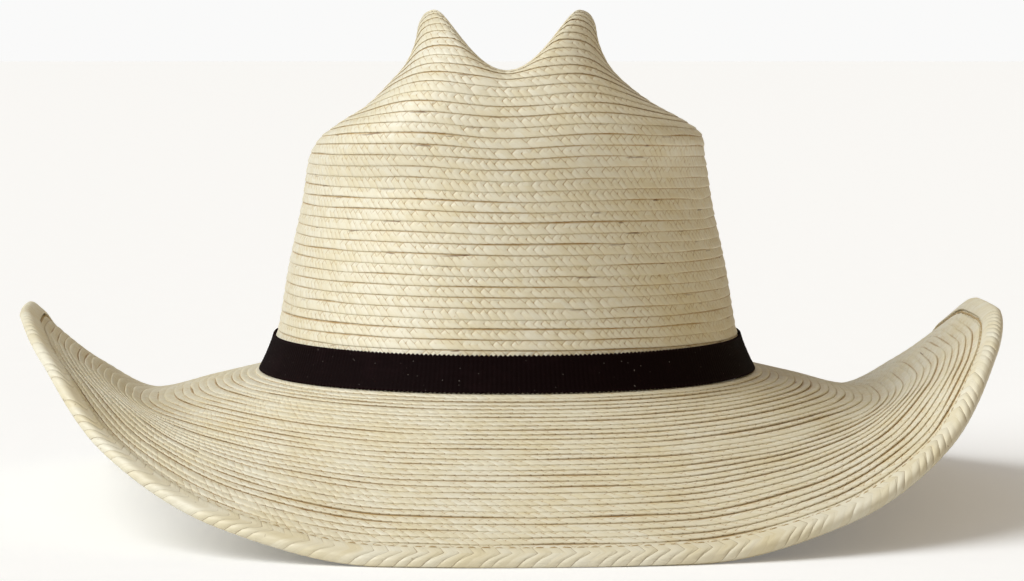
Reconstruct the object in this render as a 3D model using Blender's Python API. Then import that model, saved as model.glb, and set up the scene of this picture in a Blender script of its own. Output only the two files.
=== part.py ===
"""Palm-straw western hat, built from its separate sewn and fitted pieces.

Units are metres and +Z is up.  The hat stands on the front and the back of its brim, the wearer
faces -Y, and the origin is on the floor under the middle of the hat.  Everything is first worked
out with the headline (where crown and brim meet) at height 0, and is lifted to stand on the
floor at the end.
"""
import math

import bmesh
import bpy
import numpy as np

# ---- head, crown and crease ----------------------------------------------------------------------
HEAD_HALF_WIDTH = 0.0895        # outside of the crown at the headline, across
HEAD_HALF_LENGTH = 0.1060       # the same, front to back
CROWN_HEIGHT = 0.1340           # the uncreased crown block above the headline
RIDGE_SPREAD = 0.29             # each ridge's distance from the middle, as a share of the width
RIDGE_DROP_FRONT = 0.0025       # ridge top below the block's top, at the front
RIDGE_DROP_BACK = 0.0065        # and at the back, where the ridges run lower
RIDGE_RUN = 0.0600              # half the length over which the ridges drop
CREASE_DEPTH = 0.0225           # middle crease below the ridges
CREASE_ROUNDING = 0.0080        # blend between crease and crown at the middle
RIDGE_ROUNDING = 0.0030         # and along the ridges
DENT_DEPTH = 0.0050             # side dents, at their deepest
DENT_HALF_LENGTH = 0.0380       # front-to-back reach of a side dent
SHOULDER_LEAN = 0.0027          # right shoulder fuller than the left by twice this
BACK_SLOPE = 0.07               # how much shorter the crown's back grows towards the top

# The crown block: share of height, share of half-width, share of half-length, from the headline
# to the top.
BLOCK = (
    (0.000, 1.000, 1.000), (0.045, 0.968, 0.977), (0.105, 0.936, 0.955), (0.284, 0.889, 0.915),
    (0.448, 0.836, 0.882), (0.567, 0.807, 0.863), (0.627, 0.777, 0.854), (0.672, 0.709, 0.844),
    (0.716, 0.603, 0.830), (0.769, 0.501, 0.802), (0.828, 0.416, 0.750), (0.888, 0.373, 0.679),
    (0.940, 0.351, 0.585), (0.974, 0.313, 0.481), (0.993, 0.201, 0.321), (1.000, 0.000, 0.000),
)
# Levels of the tip's rows, from the middle of the crease out over the ridges and down.
TIP_LEVELS = (0.022, 0.045, 0.068, 0.090, 0.112, 0.135, 0.200, 0.267, 0.333, 0.400, 0.467,
              0.533, 0.600)
BASE_SQUARENESS = 2.15          # superellipse power of the oval at the headline
TOP_SQUARENESS = 4.50           # and of the squarer outline between the ridges

# ---- brim ----------------------------------------------------------------------------------------
BRIM_REACH_SIDE = 0.0825        # how far the curled brim stands out at the sides, in plan
BRIM_REACH_END = 0.0890         # and at the front and back
BRIM_SQUARENESS = 2.46          # superellipse power of the brim's outline
BRIM_TURN = 3.1                 # degrees by which the curl sits round from the crown's crease
SIDE_RISE = 0.0220              # brim edge above the headline at the sides
SIDE_DIP = 0.0089               # how far the brim dips before it curls up at the sides
END_DROP = 0.0433               # brim edge below the headline at the front and back
SIDE_SHAPE = (0.0, 0.51, 1.0)   # share of SIDE_DIP at a quarter and a half of the brim's width
SIDE_THREE_QUARTER = 0.187      # share of SIDE_RISE at three quarters of the width
END_SHAPE = (0.0, 0.165, 0.385, 0.66, 1.0)
# How much of the side curl is left at each angle from the side, in degrees.
CURL_FRONT = ((0, 1.0), (15, 1.0), (30, 0.845), (45, 0.46), (60, 0.158), (75, 0.01), (90, 0.0))
CURL_BACK = ((0, 1.0), (15, 0.855), (30, 0.41), (45, 0.235), (60, 0.145), (75, 0.02), (90, 0.0))

# ---- braid, rim and wire -------------------------------------------------------------------------
GAP = 0.0003                    # between any two pieces that touch
BRAID_THICKNESS = 0.0018
TIP_BRAID_END = 0.500           # share of crown height where the tip's braid is spliced
BRIM_SPLICE = 0.50              # share of brim width where the brim's braid is spliced
RIM_WALL = 0.0009               # thickness of the folded rim braid
RIM_WIDTH = 0.0042              # how far the fold laps back over the brim
WIRE_RADIUS = 0.0006
WIRE_SLEEVE_WALL = 0.0003
WIRE_SLEEVE_CLEARANCE = 0.00015
THREAD_RADIUS = 0.0003
END_GAP = 0.0020                # between the ends of the wire, and of the reed
REST_FLAT = 0.0006              # how far the rim is pressed flat where the hat stands

# ---- sweatband and what is sewn to it ------------------------------------------------------------
SWEATBAND_HEIGHT = 0.0380
SWEATBAND_THICKNESS = 0.0010
PAD_THICKNESS = 0.0015
PAD_LOW, PAD_HIGH = 0.0100, 0.0300
PAD_HALF_ANGLE = 42.0
FLARE_TOP = 0.0140              # the crown's foot flares out below this height
REED_RADIUS = 0.0011
REED_SLEEVE_WALL = 0.0005
SEAM_HALF_ANGLE = 0.5           # half the slit between the sweatband's ends
PATCH_THICKNESS = 0.0006
PATCH_HALF_ANGLE = 5.0
PATCH_LOW, PATCH_HIGH = 0.0080, 0.0340
LABEL_THICKNESS = 0.0004
LABEL_HALF_ANGLE = 7.0
LABEL_LOW, LABEL_HIGH = 0.0185, 0.0315
BOW_HALF_WIDTH = 0.0130
BOW_HALF_HEIGHT = 0.0042
BOW_THICKNESS = 0.0020
BOW_HEIGHT = 0.0105             # middle of the bow above the headline

# ---- hatband -------------------------------------------------------------------------------------
BAND_FOOT = 0.0006              # the band's lower edge above the headline
BAND_HEIGHT = 0.0125
BAND_THICKNESS = 0.0008
BAND_SEAM_AT = 128.0            # degrees round from +X, at the back on the wearer's left
BAND_SEAM_HALF_ANGLE = 0.3
TAB_HALF_ANGLE = 5.0
TAB_THICKNESS = 0.0006

FRONT, BACK = 270.0, 90.0       # degrees round from +X
SEGMENTS = 64                   # facets round a full ring
HEADLINE = 1.0                  # level of the headline; 0 is the crown's tip, 2 the brim's edge
STEP = 1e-4                     # for slopes by small differences


# ---- the hat's surface ---------------------------------------------------------------------------
def smoothstep(low, high, value):
    """Rise smoothly from 0 to 1 between low and high."""
    share = np.clip((value - low) / (high - low), 0.0, 1.0)
    return share * share * (3.0 - 2.0 * share)


def smooth_min(first, second, rounding):
    """The lower of two heights, rounded where they cross."""
    near = np.maximum(rounding - np.abs(first - second), 0.0) / rounding
    return np.minimum(first, second) - near * near * rounding / 4.0


def through(values, places, at):
    """A smooth curve through values at rising places, without overshoot."""
    values, places = np.asarray(values, float), np.asarray(places, float)
    width = np.diff(places)
    slope = np.diff(values) / width
    tangent = np.empty_like(values)
    tangent[0], tangent[-1] = slope[0], slope[-1]
    for i in range(1, len(values) - 1):
        before, after = slope[i - 1], slope[i]
        near_weight = 2.0 * width[i] + width[i - 1]
        far_weight = width[i] + 2.0 * width[i - 1]
        if before * after <= 0.0:
            tangent[i] = 0.0
        else:
            tangent[i] = (near_weight + far_weight) / (near_weight / before + far_weight / after)
    span = np.clip(np.searchsorted(places, at, side="right") - 1, 0, len(places) - 2)
    t = (at - places[span]) / width[span]
    rise = values[span] * (1 + 2 * t) * (1 - t) ** 2 + values[span + 1] * t * t * (3 - 2 * t)
    bend = tangent[span] * t * (1 - t) ** 2 + tangent[span + 1] * t * t * (t - 1)
    return rise + width[span] * bend


BLOCK_PLACES = np.linspace(0.0, 1.0, len(BLOCK))


def oval_radius(angle, half_width, half_length, power):
    """Distance from the middle to a superellipse at an angle in radians."""
    across = np.abs(np.cos(angle)) / np.maximum(half_width, 1e-6)
    along = np.abs(np.sin(angle)) / np.maximum(half_length, 1e-6)
    return (across ** power + along ** power) ** (-1.0 / power)


def crease_height(x, y):
    """Height of the two ridges and of the crease between them."""
    drop = RIDGE_DROP_FRONT + (RIDGE_DROP_BACK - RIDGE_DROP_FRONT) * smoothstep(
        -RIDGE_RUN, RIDGE_RUN, y)
    across = np.clip(np.abs(x) / (RIDGE_SPREAD * HEAD_HALF_WIDTH), 0.0, 1.0)
    return CROWN_HEIGHT - drop - CREASE_DEPTH * (1.0 - across ** 2) ** 1.5


def crown_point(angle, rise):
    """A point on the crown; rise runs from 0 at the headline to 1 at the tip."""
    height = through([row[0] for row in BLOCK], BLOCK_PLACES, rise)
    half_width = HEAD_HALF_WIDTH * through([row[1] for row in BLOCK], BLOCK_PLACES, rise)
    half_length = HEAD_HALF_LENGTH * through([row[2] for row in BLOCK], BLOCK_PLACES, rise)
    half_length = half_length * np.where(np.sin(angle) > 0.0, 1.0 - BACK_SLOPE * height ** 2, 1.0)
    power = BASE_SQUARENESS + (TOP_SQUARENESS - BASE_SQUARENESS) * smoothstep(0.5, 0.9, height)
    radius = oval_radius(angle, half_width, half_length, power)
    along = radius * np.sin(angle) / DENT_HALF_LENGTH
    dent = DENT_DEPTH * smoothstep(0.63, 0.75, height) * (1.0 - smoothstep(0.84, 0.94, height))
    radius = radius - dent * np.exp(-along ** 2) * np.abs(np.cos(angle))
    lean = SHOULDER_LEAN * smoothstep(0.57, 0.67, height) * (1.0 - smoothstep(0.70, 0.80, height))
    radius = radius + lean * np.cos(angle)
    x, y = radius * np.cos(angle), radius * np.sin(angle)
    middle = 1.0 - np.clip(np.abs(x) / (RIDGE_SPREAD * HEAD_HALF_WIDTH), 0.0, 1.0)
    rounding = RIDGE_ROUNDING + (CREASE_ROUNDING - RIDGE_ROUNDING) * middle
    top = smooth_min(height * CROWN_HEIGHT, crease_height(x, y), rounding)
    return np.stack([x, y, top], axis=-1)


def curl_left(table, off_side):
    """Read a curl table, carried on past both ends so that it levels out there."""
    places = [-table[1][0]] + [row[0] for row in table] + [180.0 - table[-2][0]]
    values = [table[1][1]] + [row[1] for row in table] + [table[-2][1]]
    return through(values, places, off_side)


def brim_point(angle, reach):
    """A point on the brim; reach runs from 0 at the headline to 1 at the edge."""
    turned = angle - math.radians(BRIM_TURN)
    inner = oval_radius(angle, HEAD_HALF_WIDTH, HEAD_HALF_LENGTH, BASE_SQUARENESS)
    outer = oval_radius(turned, HEAD_HALF_WIDTH + BRIM_REACH_SIDE,
                        HEAD_HALF_LENGTH + BRIM_REACH_END, BRIM_SQUARENESS)
    radius = inner + (outer - inner) * reach
    off_side = np.degrees(np.arctan2(np.abs(np.sin(turned)), np.abs(np.cos(turned))))
    front, back = curl_left(CURL_FRONT, off_side), curl_left(CURL_BACK, off_side)
    curl = np.where(np.sin(turned) < 0.0, front, back)
    quarters = np.linspace(0.0, 1.0, 5)
    side_heights = [-SIDE_DIP * share for share in SIDE_SHAPE]
    side_heights += [SIDE_RISE * SIDE_THREE_QUARTER, SIDE_RISE]
    side = through(side_heights, quarters, reach)
    end = -END_DROP * through(END_SHAPE, quarters, reach)
    height = curl * side + (1.0 - curl) * end
    return np.stack([radius * np.cos(angle), radius * np.sin(angle), height], axis=-1)


def hat_point(angle, level):
    """A point on the hat's outer face, from the crown's tip (0) to the brim's edge (2)."""
    angle = np.asarray(angle, float)
    if level <= HEADLINE:
        return crown_point(angle, np.full_like(angle, HEADLINE - level))
    return brim_point(angle, np.full_like(angle, level - HEADLINE))


def surface_frame(angle, level):
    """Point, outward direction along the surface and outward normal at each angle."""
    below = hat_point(angle, max(level - STEP, HEADLINE) if level >= HEADLINE else level - STEP)
    above = hat_point(angle, min(level + STEP, 2.0) if level >= HEADLINE else level + STEP)
    along = above - below
    round_it = hat_point(angle + STEP, level) - hat_point(angle - STEP, level)
    normal = np.cross(along, round_it)
    normal /= np.linalg.norm(normal, axis=-1, keepdims=True)
    along = np.cross(round_it, normal)
    along /= np.linalg.norm(along, axis=-1, keepdims=True)
    return hat_point(angle, level), along, normal


def level_at(share):
    """The level at which the crown reaches a share of its height."""
    rises = np.linspace(0.0, 1.0, 2001)
    heights = through([row[0] for row in BLOCK], BLOCK_PLACES, rises)
    return HEADLINE - float(np.interp(share, heights, rises))


FACET = 360.0 / SEGMENTS
RING = np.radians(np.arange(SEGMENTS) * FACET)


def angles_between(start, end):
    """Angles in radians over an arc given in degrees, on the full ring's facets."""
    first, last = math.floor(start / FACET) + 1, math.ceil(end / FACET)
    inside = [k * FACET for k in range(first, last)]
    return np.radians([start, *inside, end])


def opened(points, end_gap):
    """A closed ring's points as an open line whose ends meet just past the back."""
    start = round(BACK / FACET)
    turned = np.concatenate([points[start + 1:], points[:start + 1]])
    facet = turned[0] - turned[-1]
    middle = (turned[0] + turned[-1]) / 2.0
    aside = facet / np.linalg.norm(facet) * end_gap / 2.0
    return np.concatenate([[middle + aside], turned, [middle - aside]])


# ---- making solids -------------------------------------------------------------------------------
def clear_scene():
    """Remove whatever the scene holds."""
    for item in list(bpy.data.objects):
        bpy.data.objects.remove(item, do_unlink=True)


def material(name, color, roughness, metallic=0.0):
    """A Principled material of one plain colour."""
    made = bpy.data.materials.new(name)
    made.use_nodes = True
    shader = made.node_tree.nodes["Principled BSDF"]
    shader.inputs["Base Color"].default_value = (*color, 1.0)
    shader.inputs["Roughness"].default_value = roughness
    shader.inputs["Metallic"].default_value = metallic
    return made


def add_object(name, data, finish):
    """Place mesh or curve data in the scene under a node's name."""
    data.materials.append(finish)
    made = bpy.data.objects.new(name, data)
    bpy.context.collection.objects.link(made)
    return made


def split_face(bm, inner, outer, next_outer, next_inner):
    """Two triangles whose shared edge runs from the inner corner, alike on facing skins."""
    bm.faces.new((inner, outer, next_outer))
    bm.faces.new((inner, next_outer, next_inner))


def mesh_from_rows(name, rows, closed, finish, close_tip=False):
    """Skin rows of points that run in the order in which the hat is sewn."""
    bm = bmesh.new()
    grid = [[bm.verts.new(point) for point in row] for row in rows]
    count = len(rows[0])
    for upper, lower in zip(grid, grid[1:]):
        for i in range(count if closed else count - 1):
            j = (i + 1) % count
            split_face(bm, upper[i], lower[i], lower[j], upper[j])
    if close_tip:
        lid = bm.faces.new(grid[0])
        bmesh.ops.poke(bm, faces=[lid])
    mesh = bpy.data.meshes.new(name)
    bm.to_mesh(mesh)
    bm.free()
    mesh.shade_smooth()
    mesh.set_sharp_from_angle(angle=math.radians(50.0))
    return add_object(name, mesh, finish)


def thicken(piece, thickness):
    """Give a skin its thickness, inwards from the face that it was drawn on."""
    solid = piece.modifiers.new("thickness", "SOLIDIFY")
    solid.thickness = thickness
    solid.offset = -1.0


def sewn_shell(name, levels, finish, close_tip=False):
    """A band of braid that follows the hat between two levels, or closes over its tip."""
    rows = [hat_point(RING, level) for level in levels]
    piece = mesh_from_rows(name, rows, True, finish, close_tip)
    thicken(piece, BRAID_THICKNESS)
    return piece


def ring_tube(name, points, radius, cyclic, finish, roundness=1):
    """A round wire, reed or thread along a line of points."""
    curve = bpy.data.curves.new(name, "CURVE")
    curve.dimensions = "3D"
    curve.bevel_depth = radius
    curve.bevel_resolution = roundness
    curve.use_fill_caps = True
    spline = curve.splines.new("POLY")
    spline.points.add(len(points) - 1)
    for target, point in zip(spline.points, points):
        target.co = (*point, 1.0)
    spline.use_cyclic_u = cyclic
    return add_object(name, curve, finish)


def swept_section(name, lines, closed, finish, floor=-math.inf):
    """Join lines of points, one for each corner of a closed section, into a solid."""
    bm = bmesh.new()
    rings = []
    for corners in zip(*lines):
        ring = [bm.verts.new((x, y, max(z, floor))) for x, y, z in corners]
        rings.append(ring)
    count = len(lines)
    pairs = list(zip(rings, rings[1:]))
    if closed:
        pairs.append((rings[-1], rings[0]))
    for first, second in pairs:
        for i in range(count):
            near, far = i, (i + 1) % count
            if first[near].co.xy.length > first[far].co.xy.length:
                near, far = far, near
            split_face(bm, first[near], first[far], second[far], second[near])
    if not closed:
        bm.faces.new(rings[0])
        bm.faces.new(rings[-1])
    bmesh.ops.recalc_face_normals(bm, faces=bm.faces)
    mesh = bpy.data.meshes.new(name)
    bm.to_mesh(mesh)
    bm.free()
    mesh.shade_smooth()
    mesh.set_sharp_from_angle(angle=math.radians(50.0))
    return add_object(name, mesh, finish)


def open_ring_section(middle, inner_radius, wall, start, end, steps):
    """A C-shaped section round a middle point, open between end and start (degrees)."""
    turns = np.radians(np.linspace(start, end, steps))
    outside = [(middle[0] + (inner_radius + wall) * math.cos(t),
                middle[1] + (inner_radius + wall) * math.sin(t)) for t in turns]
    inside = [(middle[0] + inner_radius * math.cos(t),
               middle[1] + inner_radius * math.sin(t)) for t in reversed(turns)]
    return outside + inside


# ---- the rim's section, in offsets from the brim's edge ------------------------------------------
SLEEVE_RADIUS = WIRE_RADIUS + WIRE_SLEEVE_CLEARANCE + WIRE_SLEEVE_WALL
# Half the slot that holds the brim's edge, the wire and its sleeve.
SLOT_HALF = max(BRAID_THICKNESS / 2.0 + GAP, SLEEVE_RADIUS + WIRE_SLEEVE_CLEARANCE)
SLOT_MIDDLE = -BRAID_THICKNESS / 2.0              # the braid's middle, below its outer face
FOLD_RADIUS = SLOT_HALF + RIM_WALL
WIRE_AT = (GAP + WIRE_RADIUS + 0.0005, SLOT_MIDDLE)


RIM_LAP = WIRE_AT[0] - RIM_WIDTH                  # the fold's lips, inwards of the brim's edge


def lap_level():
    """The level of the fold's lips."""
    return 2.0 + RIM_LAP / BRIM_REACH_SIDE


def rim_section():
    """The folded braid: over the brim, round the wire and back under the brim."""
    bend = WIRE_AT[0]
    turns = np.radians(np.linspace(90.0, -90.0, 5))
    outside = [(bend + FOLD_RADIUS * math.cos(t), SLOT_MIDDLE + FOLD_RADIUS * math.sin(t))
               for t in turns]
    inside = [(bend + SLOT_HALF * math.cos(t), SLOT_MIDDLE + SLOT_HALF * math.sin(t))
              for t in reversed(turns)]
    places = (0.0, RIM_LAP)
    lower = [(place, SLOT_MIDDLE - FOLD_RADIUS) for place in places]
    lower += [(place, SLOT_MIDDLE - SLOT_HALF) for place in reversed(places)]
    upper = [(place, SLOT_MIDDLE + SLOT_HALF) for place in places]
    upper += [(place, SLOT_MIDDLE + FOLD_RADIUS) for place in reversed(places)]
    return outside + lower + inside + upper


def rim_lines(angles, section):
    """Lines round the rim for a section given in (along, out) offsets from the brim's edge."""
    lines = []
    for forward, out in section:
        level = 2.0 + min(forward, 0.0) / BRIM_REACH_SIDE
        origin, along, normal = surface_frame(angles, level)
        lines.append(origin + along * max(forward, 0.0) + normal * out)
    return lines


def rest_level():
    """Height of the floor below the headline, once the rim is pressed flat."""
    lowest = min(float(line[:, 2].min()) for line in rim_lines(RING, rim_section()))
    return lowest + REST_FLAT


# ---- crown and brim ------------------------------------------------------------------------------
def band_heights():
    """Heights of the hatband's rows, which the crown's foot shares."""
    return [float(height) for height in np.linspace(BAND_FOOT, BAND_FOOT + BAND_HEIGHT, 4)]


def build_crown(straw):
    """The tip's coil and the wall, one braid spliced at the shoulder."""
    splice = level_at(TIP_BRAID_END)
    half_gap = (level_at(TIP_BRAID_END - GAP / CROWN_HEIGHT) - splice) / 2.0
    sewn_shell("crown_tip_braid", [*TIP_LEVELS, splice - half_gap], straw, close_tip=True)
    heights = [GAP, *band_heights()[1:]]
    plain_wall = np.linspace(heights[-1], TIP_BRAID_END * CROWN_HEIGHT, 4)[1:-1]
    heights += [float(height) for height in plain_wall]
    wall_levels = [level_at(height / CROWN_HEIGHT) for height in heights] + [splice + half_gap]
    sewn_shell("crown_wall_braid", wall_levels[::-1], straw)


def build_brim(straw):
    """The brim's inner and outer rows, spliced half-way out."""
    splice = HEADLINE + BRIM_SPLICE
    half_gap = GAP / (2.0 * BRIM_REACH_SIDE)
    inner = np.linspace(HEADLINE, splice - half_gap, 5)
    outer = np.linspace(splice + half_gap, lap_level(), 5)
    sewn_shell("brim_inner_braid", [float(level) for level in inner], straw)
    sewn_shell("brim_outer_braid", [float(level) for level in outer] + [2.0], straw)


def build_rim(rim_straw, steel, thread):
    """The folded edge, the wire inside it, the wire's sleeve and the line of stitching."""
    fold = rim_lines(RING, rim_section())
    swept_section("rim_fold_braid", fold, True, rim_straw, floor=rest_level())
    wire_line = opened(rim_lines(RING, [WIRE_AT])[0], END_GAP)
    ring_tube("rim_wire", wire_line, WIRE_RADIUS, False, steel)
    arc = np.radians([BACK, BACK + FACET])
    crimp = open_ring_section(WIRE_AT, WIRE_RADIUS + WIRE_SLEEVE_CLEARANCE, WIRE_SLEEVE_WALL,
                              -150.0, 150.0, 7)
    swept_section("rim_wire_sleeve", rim_lines(arc, crimp), False, steel)
    stitch_at = (RIM_LAP - GAP - THREAD_RADIUS, GAP + THREAD_RADIUS)
    stitch_line = rim_lines(RING, [stitch_at])[0]
    ring_tube("rim_stitching", stitch_line, THREAD_RADIUS, True, thread, roundness=0)


# ---- inside the crown ----------------------------------------------------------------------------
BAND_DEPTH = BRAID_THICKNESS + GAP + PAD_THICKNESS + GAP     # crown's face to the sweatband
INNER_FACE = BAND_DEPTH + SWEATBAND_THICKNESS


def inside_point(angle, height, depth):
    """A point inside the crown; below the flare the line goes straight down."""
    top = max(height, FLARE_TOP)
    level = level_at(top / CROWN_HEIGHT)
    point, along, normal = surface_frame(angle, level)
    point = point - normal * depth
    straight = along / np.maximum(-along[:, 2:3], 1e-6)
    return point + straight * (point[:, 2:3] - height)


def inside_sheet(name, angles, low, high, depth, thickness, finish, rows=2):
    """A strip that stands inside the crown, its outer face at a depth below the crown's."""
    heights = np.linspace(high, low, rows + 1)
    points = [inside_point(angles, float(height), depth) for height in heights]
    piece = mesh_from_rows(name, points, False, finish)
    thicken(piece, thickness)
    return piece


def build_sweatband(leather, foam, plastic, thread):
    """The sweatband with its seam, pad, reed, reed sleeve and stitching."""
    arc = angles_between(BACK + SEAM_HALF_ANGLE, BACK + 360.0 - SEAM_HALF_ANGLE)
    inside_sheet("sweatband", arc, 0.0, SWEATBAND_HEIGHT, BAND_DEPTH, SWEATBAND_THICKNESS,
                 leather, rows=3)
    pad_arc = angles_between(FRONT - PAD_HALF_ANGLE, FRONT + PAD_HALF_ANGLE)
    inside_sheet("forehead_pad", pad_arc, PAD_LOW, PAD_HIGH, BRAID_THICKNESS + GAP,
                 PAD_THICKNESS, foam)
    middle = BAND_DEPTH + SWEATBAND_THICKNESS / 2.0
    reed_height = -GAP - REED_RADIUS
    reed_line = opened(inside_point(RING, reed_height, middle), END_GAP)
    ring_tube("sweatband_reed", reed_line, REED_RADIUS, False, plastic)
    sleeve_arc = np.radians([BACK - FACET, BACK, BACK + FACET, BACK + 2.0 * FACET])
    point = inside_point(sleeve_arc, reed_height, middle)
    inwards = point * np.array([1.0, 1.0, 0.0])
    inwards = -inwards / np.linalg.norm(inwards, axis=-1, keepdims=True)
    down = np.array([0.0, 0.0, -1.0])
    clip = open_ring_section((0.0, 0.0), REED_RADIUS + GAP, REED_SLEEVE_WALL, -130.0, 130.0, 9)
    lines = [point + down * below + inwards * aside for below, aside in clip]
    swept_section("reed_sleeve", lines, False, plastic)
    stitch_arc = angles_between(BACK + 2.0, BACK + 358.0)
    stitch_line = inside_point(stitch_arc, 0.003, INNER_FACE + GAP + THREAD_RADIUS)
    ring_tube("sweatband_stitching", stitch_line, THREAD_RADIUS, False, thread, roundness=0)


def build_back_seam(tape, paper, satin):
    """The patch behind the sweatband's seam, the blank size label and the little bow."""
    patch_arc = angles_between(BACK - PATCH_HALF_ANGLE, BACK + PATCH_HALF_ANGLE)
    patch_depth = BAND_DEPTH - GAP - PATCH_THICKNESS
    inside_sheet("sweatband_seam_patch", patch_arc, PATCH_LOW, PATCH_HIGH, patch_depth,
                 PATCH_THICKNESS, tape)
    label_arc = angles_between(BACK - LABEL_HALF_ANGLE, BACK + LABEL_HALF_ANGLE)
    inside_sheet("size_label", label_arc, LABEL_LOW, LABEL_HIGH, INNER_FACE + GAP,
                 LABEL_THICKNESS, paper)
    build_bow(satin)


def build_bow(satin):
    """A flat tied bow against the sweatband: two loops and a knot in one outline."""
    reach, rise = BOW_HALF_WIDTH, BOW_HALF_HEIGHT
    right = [(0.10, -0.42), (0.22, -0.50), (0.60, -0.95), (0.92, -1.0), (1.0, -0.55),
             (0.96, 0.0), (1.0, 0.55), (0.92, 1.0), (0.60, 0.95), (0.22, 0.50), (0.10, 0.42)]
    left = [(-across, up) for across, up in reversed(right)]
    outline = [(across * reach, up * rise) for across, up in right + left]
    bm = bmesh.new()
    verts = []
    for across, up in outline:
        angle = math.radians(BACK) - across / HEAD_HALF_LENGTH
        point = inside_point(np.array([angle]), BOW_HEIGHT + up, INNER_FACE + GAP)[0]
        verts.append(bm.verts.new(point))
    face = bm.faces.new(verts)
    bmesh.ops.triangulate(bm, faces=[face])
    grown = bmesh.ops.extrude_face_region(bm, geom=list(bm.faces))
    moved = [item for item in grown["geom"] if isinstance(item, bmesh.types.BMVert)]
    bmesh.ops.translate(bm, verts=moved, vec=(0.0, -BOW_THICKNESS, 0.0))
    bmesh.ops.recalc_face_normals(bm, faces=bm.faces)
    mesh = bpy.data.meshes.new("sweatband_bow")
    bm.to_mesh(mesh)
    bm.free()
    add_object("sweatband_bow", mesh, satin)


# ---- hatband -------------------------------------------------------------------------------------
def outside_sheet(name, angles, depth_out, thickness, finish):
    """A strip round the foot of the crown, its outer face at a distance from the crown's."""
    rows = []
    for height in reversed(band_heights()):
        point, _, normal = surface_frame(angles, level_at(height / CROWN_HEIGHT))
        rows.append(point + normal * depth_out)
    piece = mesh_from_rows(name, rows, False, finish)
    thicken(piece, thickness)
    return piece


def build_hatband(ribbon):
    """The elastic ribbon, an open strip, and the tab that covers its seam."""
    arc = angles_between(BAND_SEAM_AT + BAND_SEAM_HALF_ANGLE,
                         BAND_SEAM_AT + 360.0 - BAND_SEAM_HALF_ANGLE)
    outside_sheet("hatband_ribbon", arc, GAP + BAND_THICKNESS, BAND_THICKNESS, ribbon)
    tab_arc = angles_between(BAND_SEAM_AT - TAB_HALF_ANGLE, BAND_SEAM_AT + TAB_HALF_ANGLE)
    outside_sheet("hatband_seam_tab", tab_arc, 2.0 * GAP + BAND_THICKNESS + TAB_THICKNESS,
                  TAB_THICKNESS, ribbon)


def stand_on_floor():
    """Lift every piece so that the pressed flats of the rim are at height 0."""
    lift = -rest_level()
    for piece in bpy.data.objects:
        piece.location.z += lift


def main():
    """Build every piece of the hat."""
    clear_scene()
    straw = material("palm_straw", (0.66, 0.58, 0.40), 0.55)
    rim_straw = material("rim_straw", (0.68, 0.60, 0.42), 0.55)
    steel = material("wire_steel", (0.55, 0.55, 0.56), 0.35, 1.0)
    thread = material("brown_thread", (0.30, 0.18, 0.08), 0.70)
    leather = material("sweatband_leather", (0.23, 0.13, 0.07), 0.50)
    foam = material("pad_foam", (0.62, 0.60, 0.55), 0.90)
    plastic = material("reed_plastic", (0.78, 0.74, 0.64), 0.40)
    tape = material("seam_tape", (0.30, 0.22, 0.15), 0.80)
    paper = material("label_cloth", (0.75, 0.73, 0.68), 0.75)
    satin = material("bow_satin", (0.05, 0.03, 0.03), 0.35)
    ribbon = material("ribbon_grosgrain", (0.010, 0.006, 0.006), 0.80)
    build_crown(straw)
    build_brim(straw)
    build_rim(rim_straw, steel, thread)
    build_sweatband(leather, foam, plastic, thread)
    build_back_seam(tape, paper, satin)
    build_hatband(ribbon)
    stand_on_floor()


main()
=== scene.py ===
"""Looks of a palm-straw western hat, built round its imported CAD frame.

Units are metres, +Z is up and the wearer faces -Y, as in the frame.  The straw is one long plait
that is sewn round and round from the crown's tip to the brim's edge, so the plait is described
once, by its section and its strands, and is then laid along that coil.
"""
import logging
import math
from abc import ABC, abstractmethod
from dataclasses import dataclass
from enum import Enum
from typing import Callable, Sequence

import bpy
import numpy as np
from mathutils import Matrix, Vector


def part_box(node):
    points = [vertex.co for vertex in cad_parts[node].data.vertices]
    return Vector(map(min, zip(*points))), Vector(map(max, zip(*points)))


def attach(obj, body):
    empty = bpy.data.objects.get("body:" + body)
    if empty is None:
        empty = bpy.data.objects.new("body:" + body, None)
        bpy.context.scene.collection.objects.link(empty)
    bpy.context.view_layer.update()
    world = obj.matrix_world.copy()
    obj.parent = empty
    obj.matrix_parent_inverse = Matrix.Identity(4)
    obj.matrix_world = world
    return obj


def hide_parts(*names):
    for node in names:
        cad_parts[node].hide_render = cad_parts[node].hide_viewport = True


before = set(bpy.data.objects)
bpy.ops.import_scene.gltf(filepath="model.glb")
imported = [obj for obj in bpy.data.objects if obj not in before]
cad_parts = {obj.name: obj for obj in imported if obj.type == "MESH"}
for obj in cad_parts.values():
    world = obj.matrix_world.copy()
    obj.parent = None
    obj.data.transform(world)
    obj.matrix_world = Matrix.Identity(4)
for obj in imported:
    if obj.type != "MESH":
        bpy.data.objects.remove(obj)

LOG = logging.getLogger("hat")
MM = 0.001
TURN = 2.0 * math.pi
FRONT, BACK = math.radians(270.0), math.radians(90.0)
MOST_TRIANGLES = 190_000    # in one piece
CLOSE_ENOUGH = 0.6 * MM     # between this form's height and the frame's
NARROWEST = 0.15            # share of its width that the plait keeps at the coil's ends
Array = np.ndarray


class Body(Enum):
    """The frame's moving bodies."""

    HAT = "hat"
    HATBAND = "hatband"


class Side(Enum):
    """The side of the crown on which a flat piece lies."""

    INSIDE = "inside"
    OUTSIDE = "outside"


# ---- curves -------------------------------------------------------------------------------------
def smoothstep(low: float, high: float, value: Array) -> Array:
    """Rise smoothly from 0 to 1 between low and high."""
    share = np.clip((value - low) / (high - low), 0.0, 1.0)
    return share * share * (3.0 - 2.0 * share)


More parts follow.
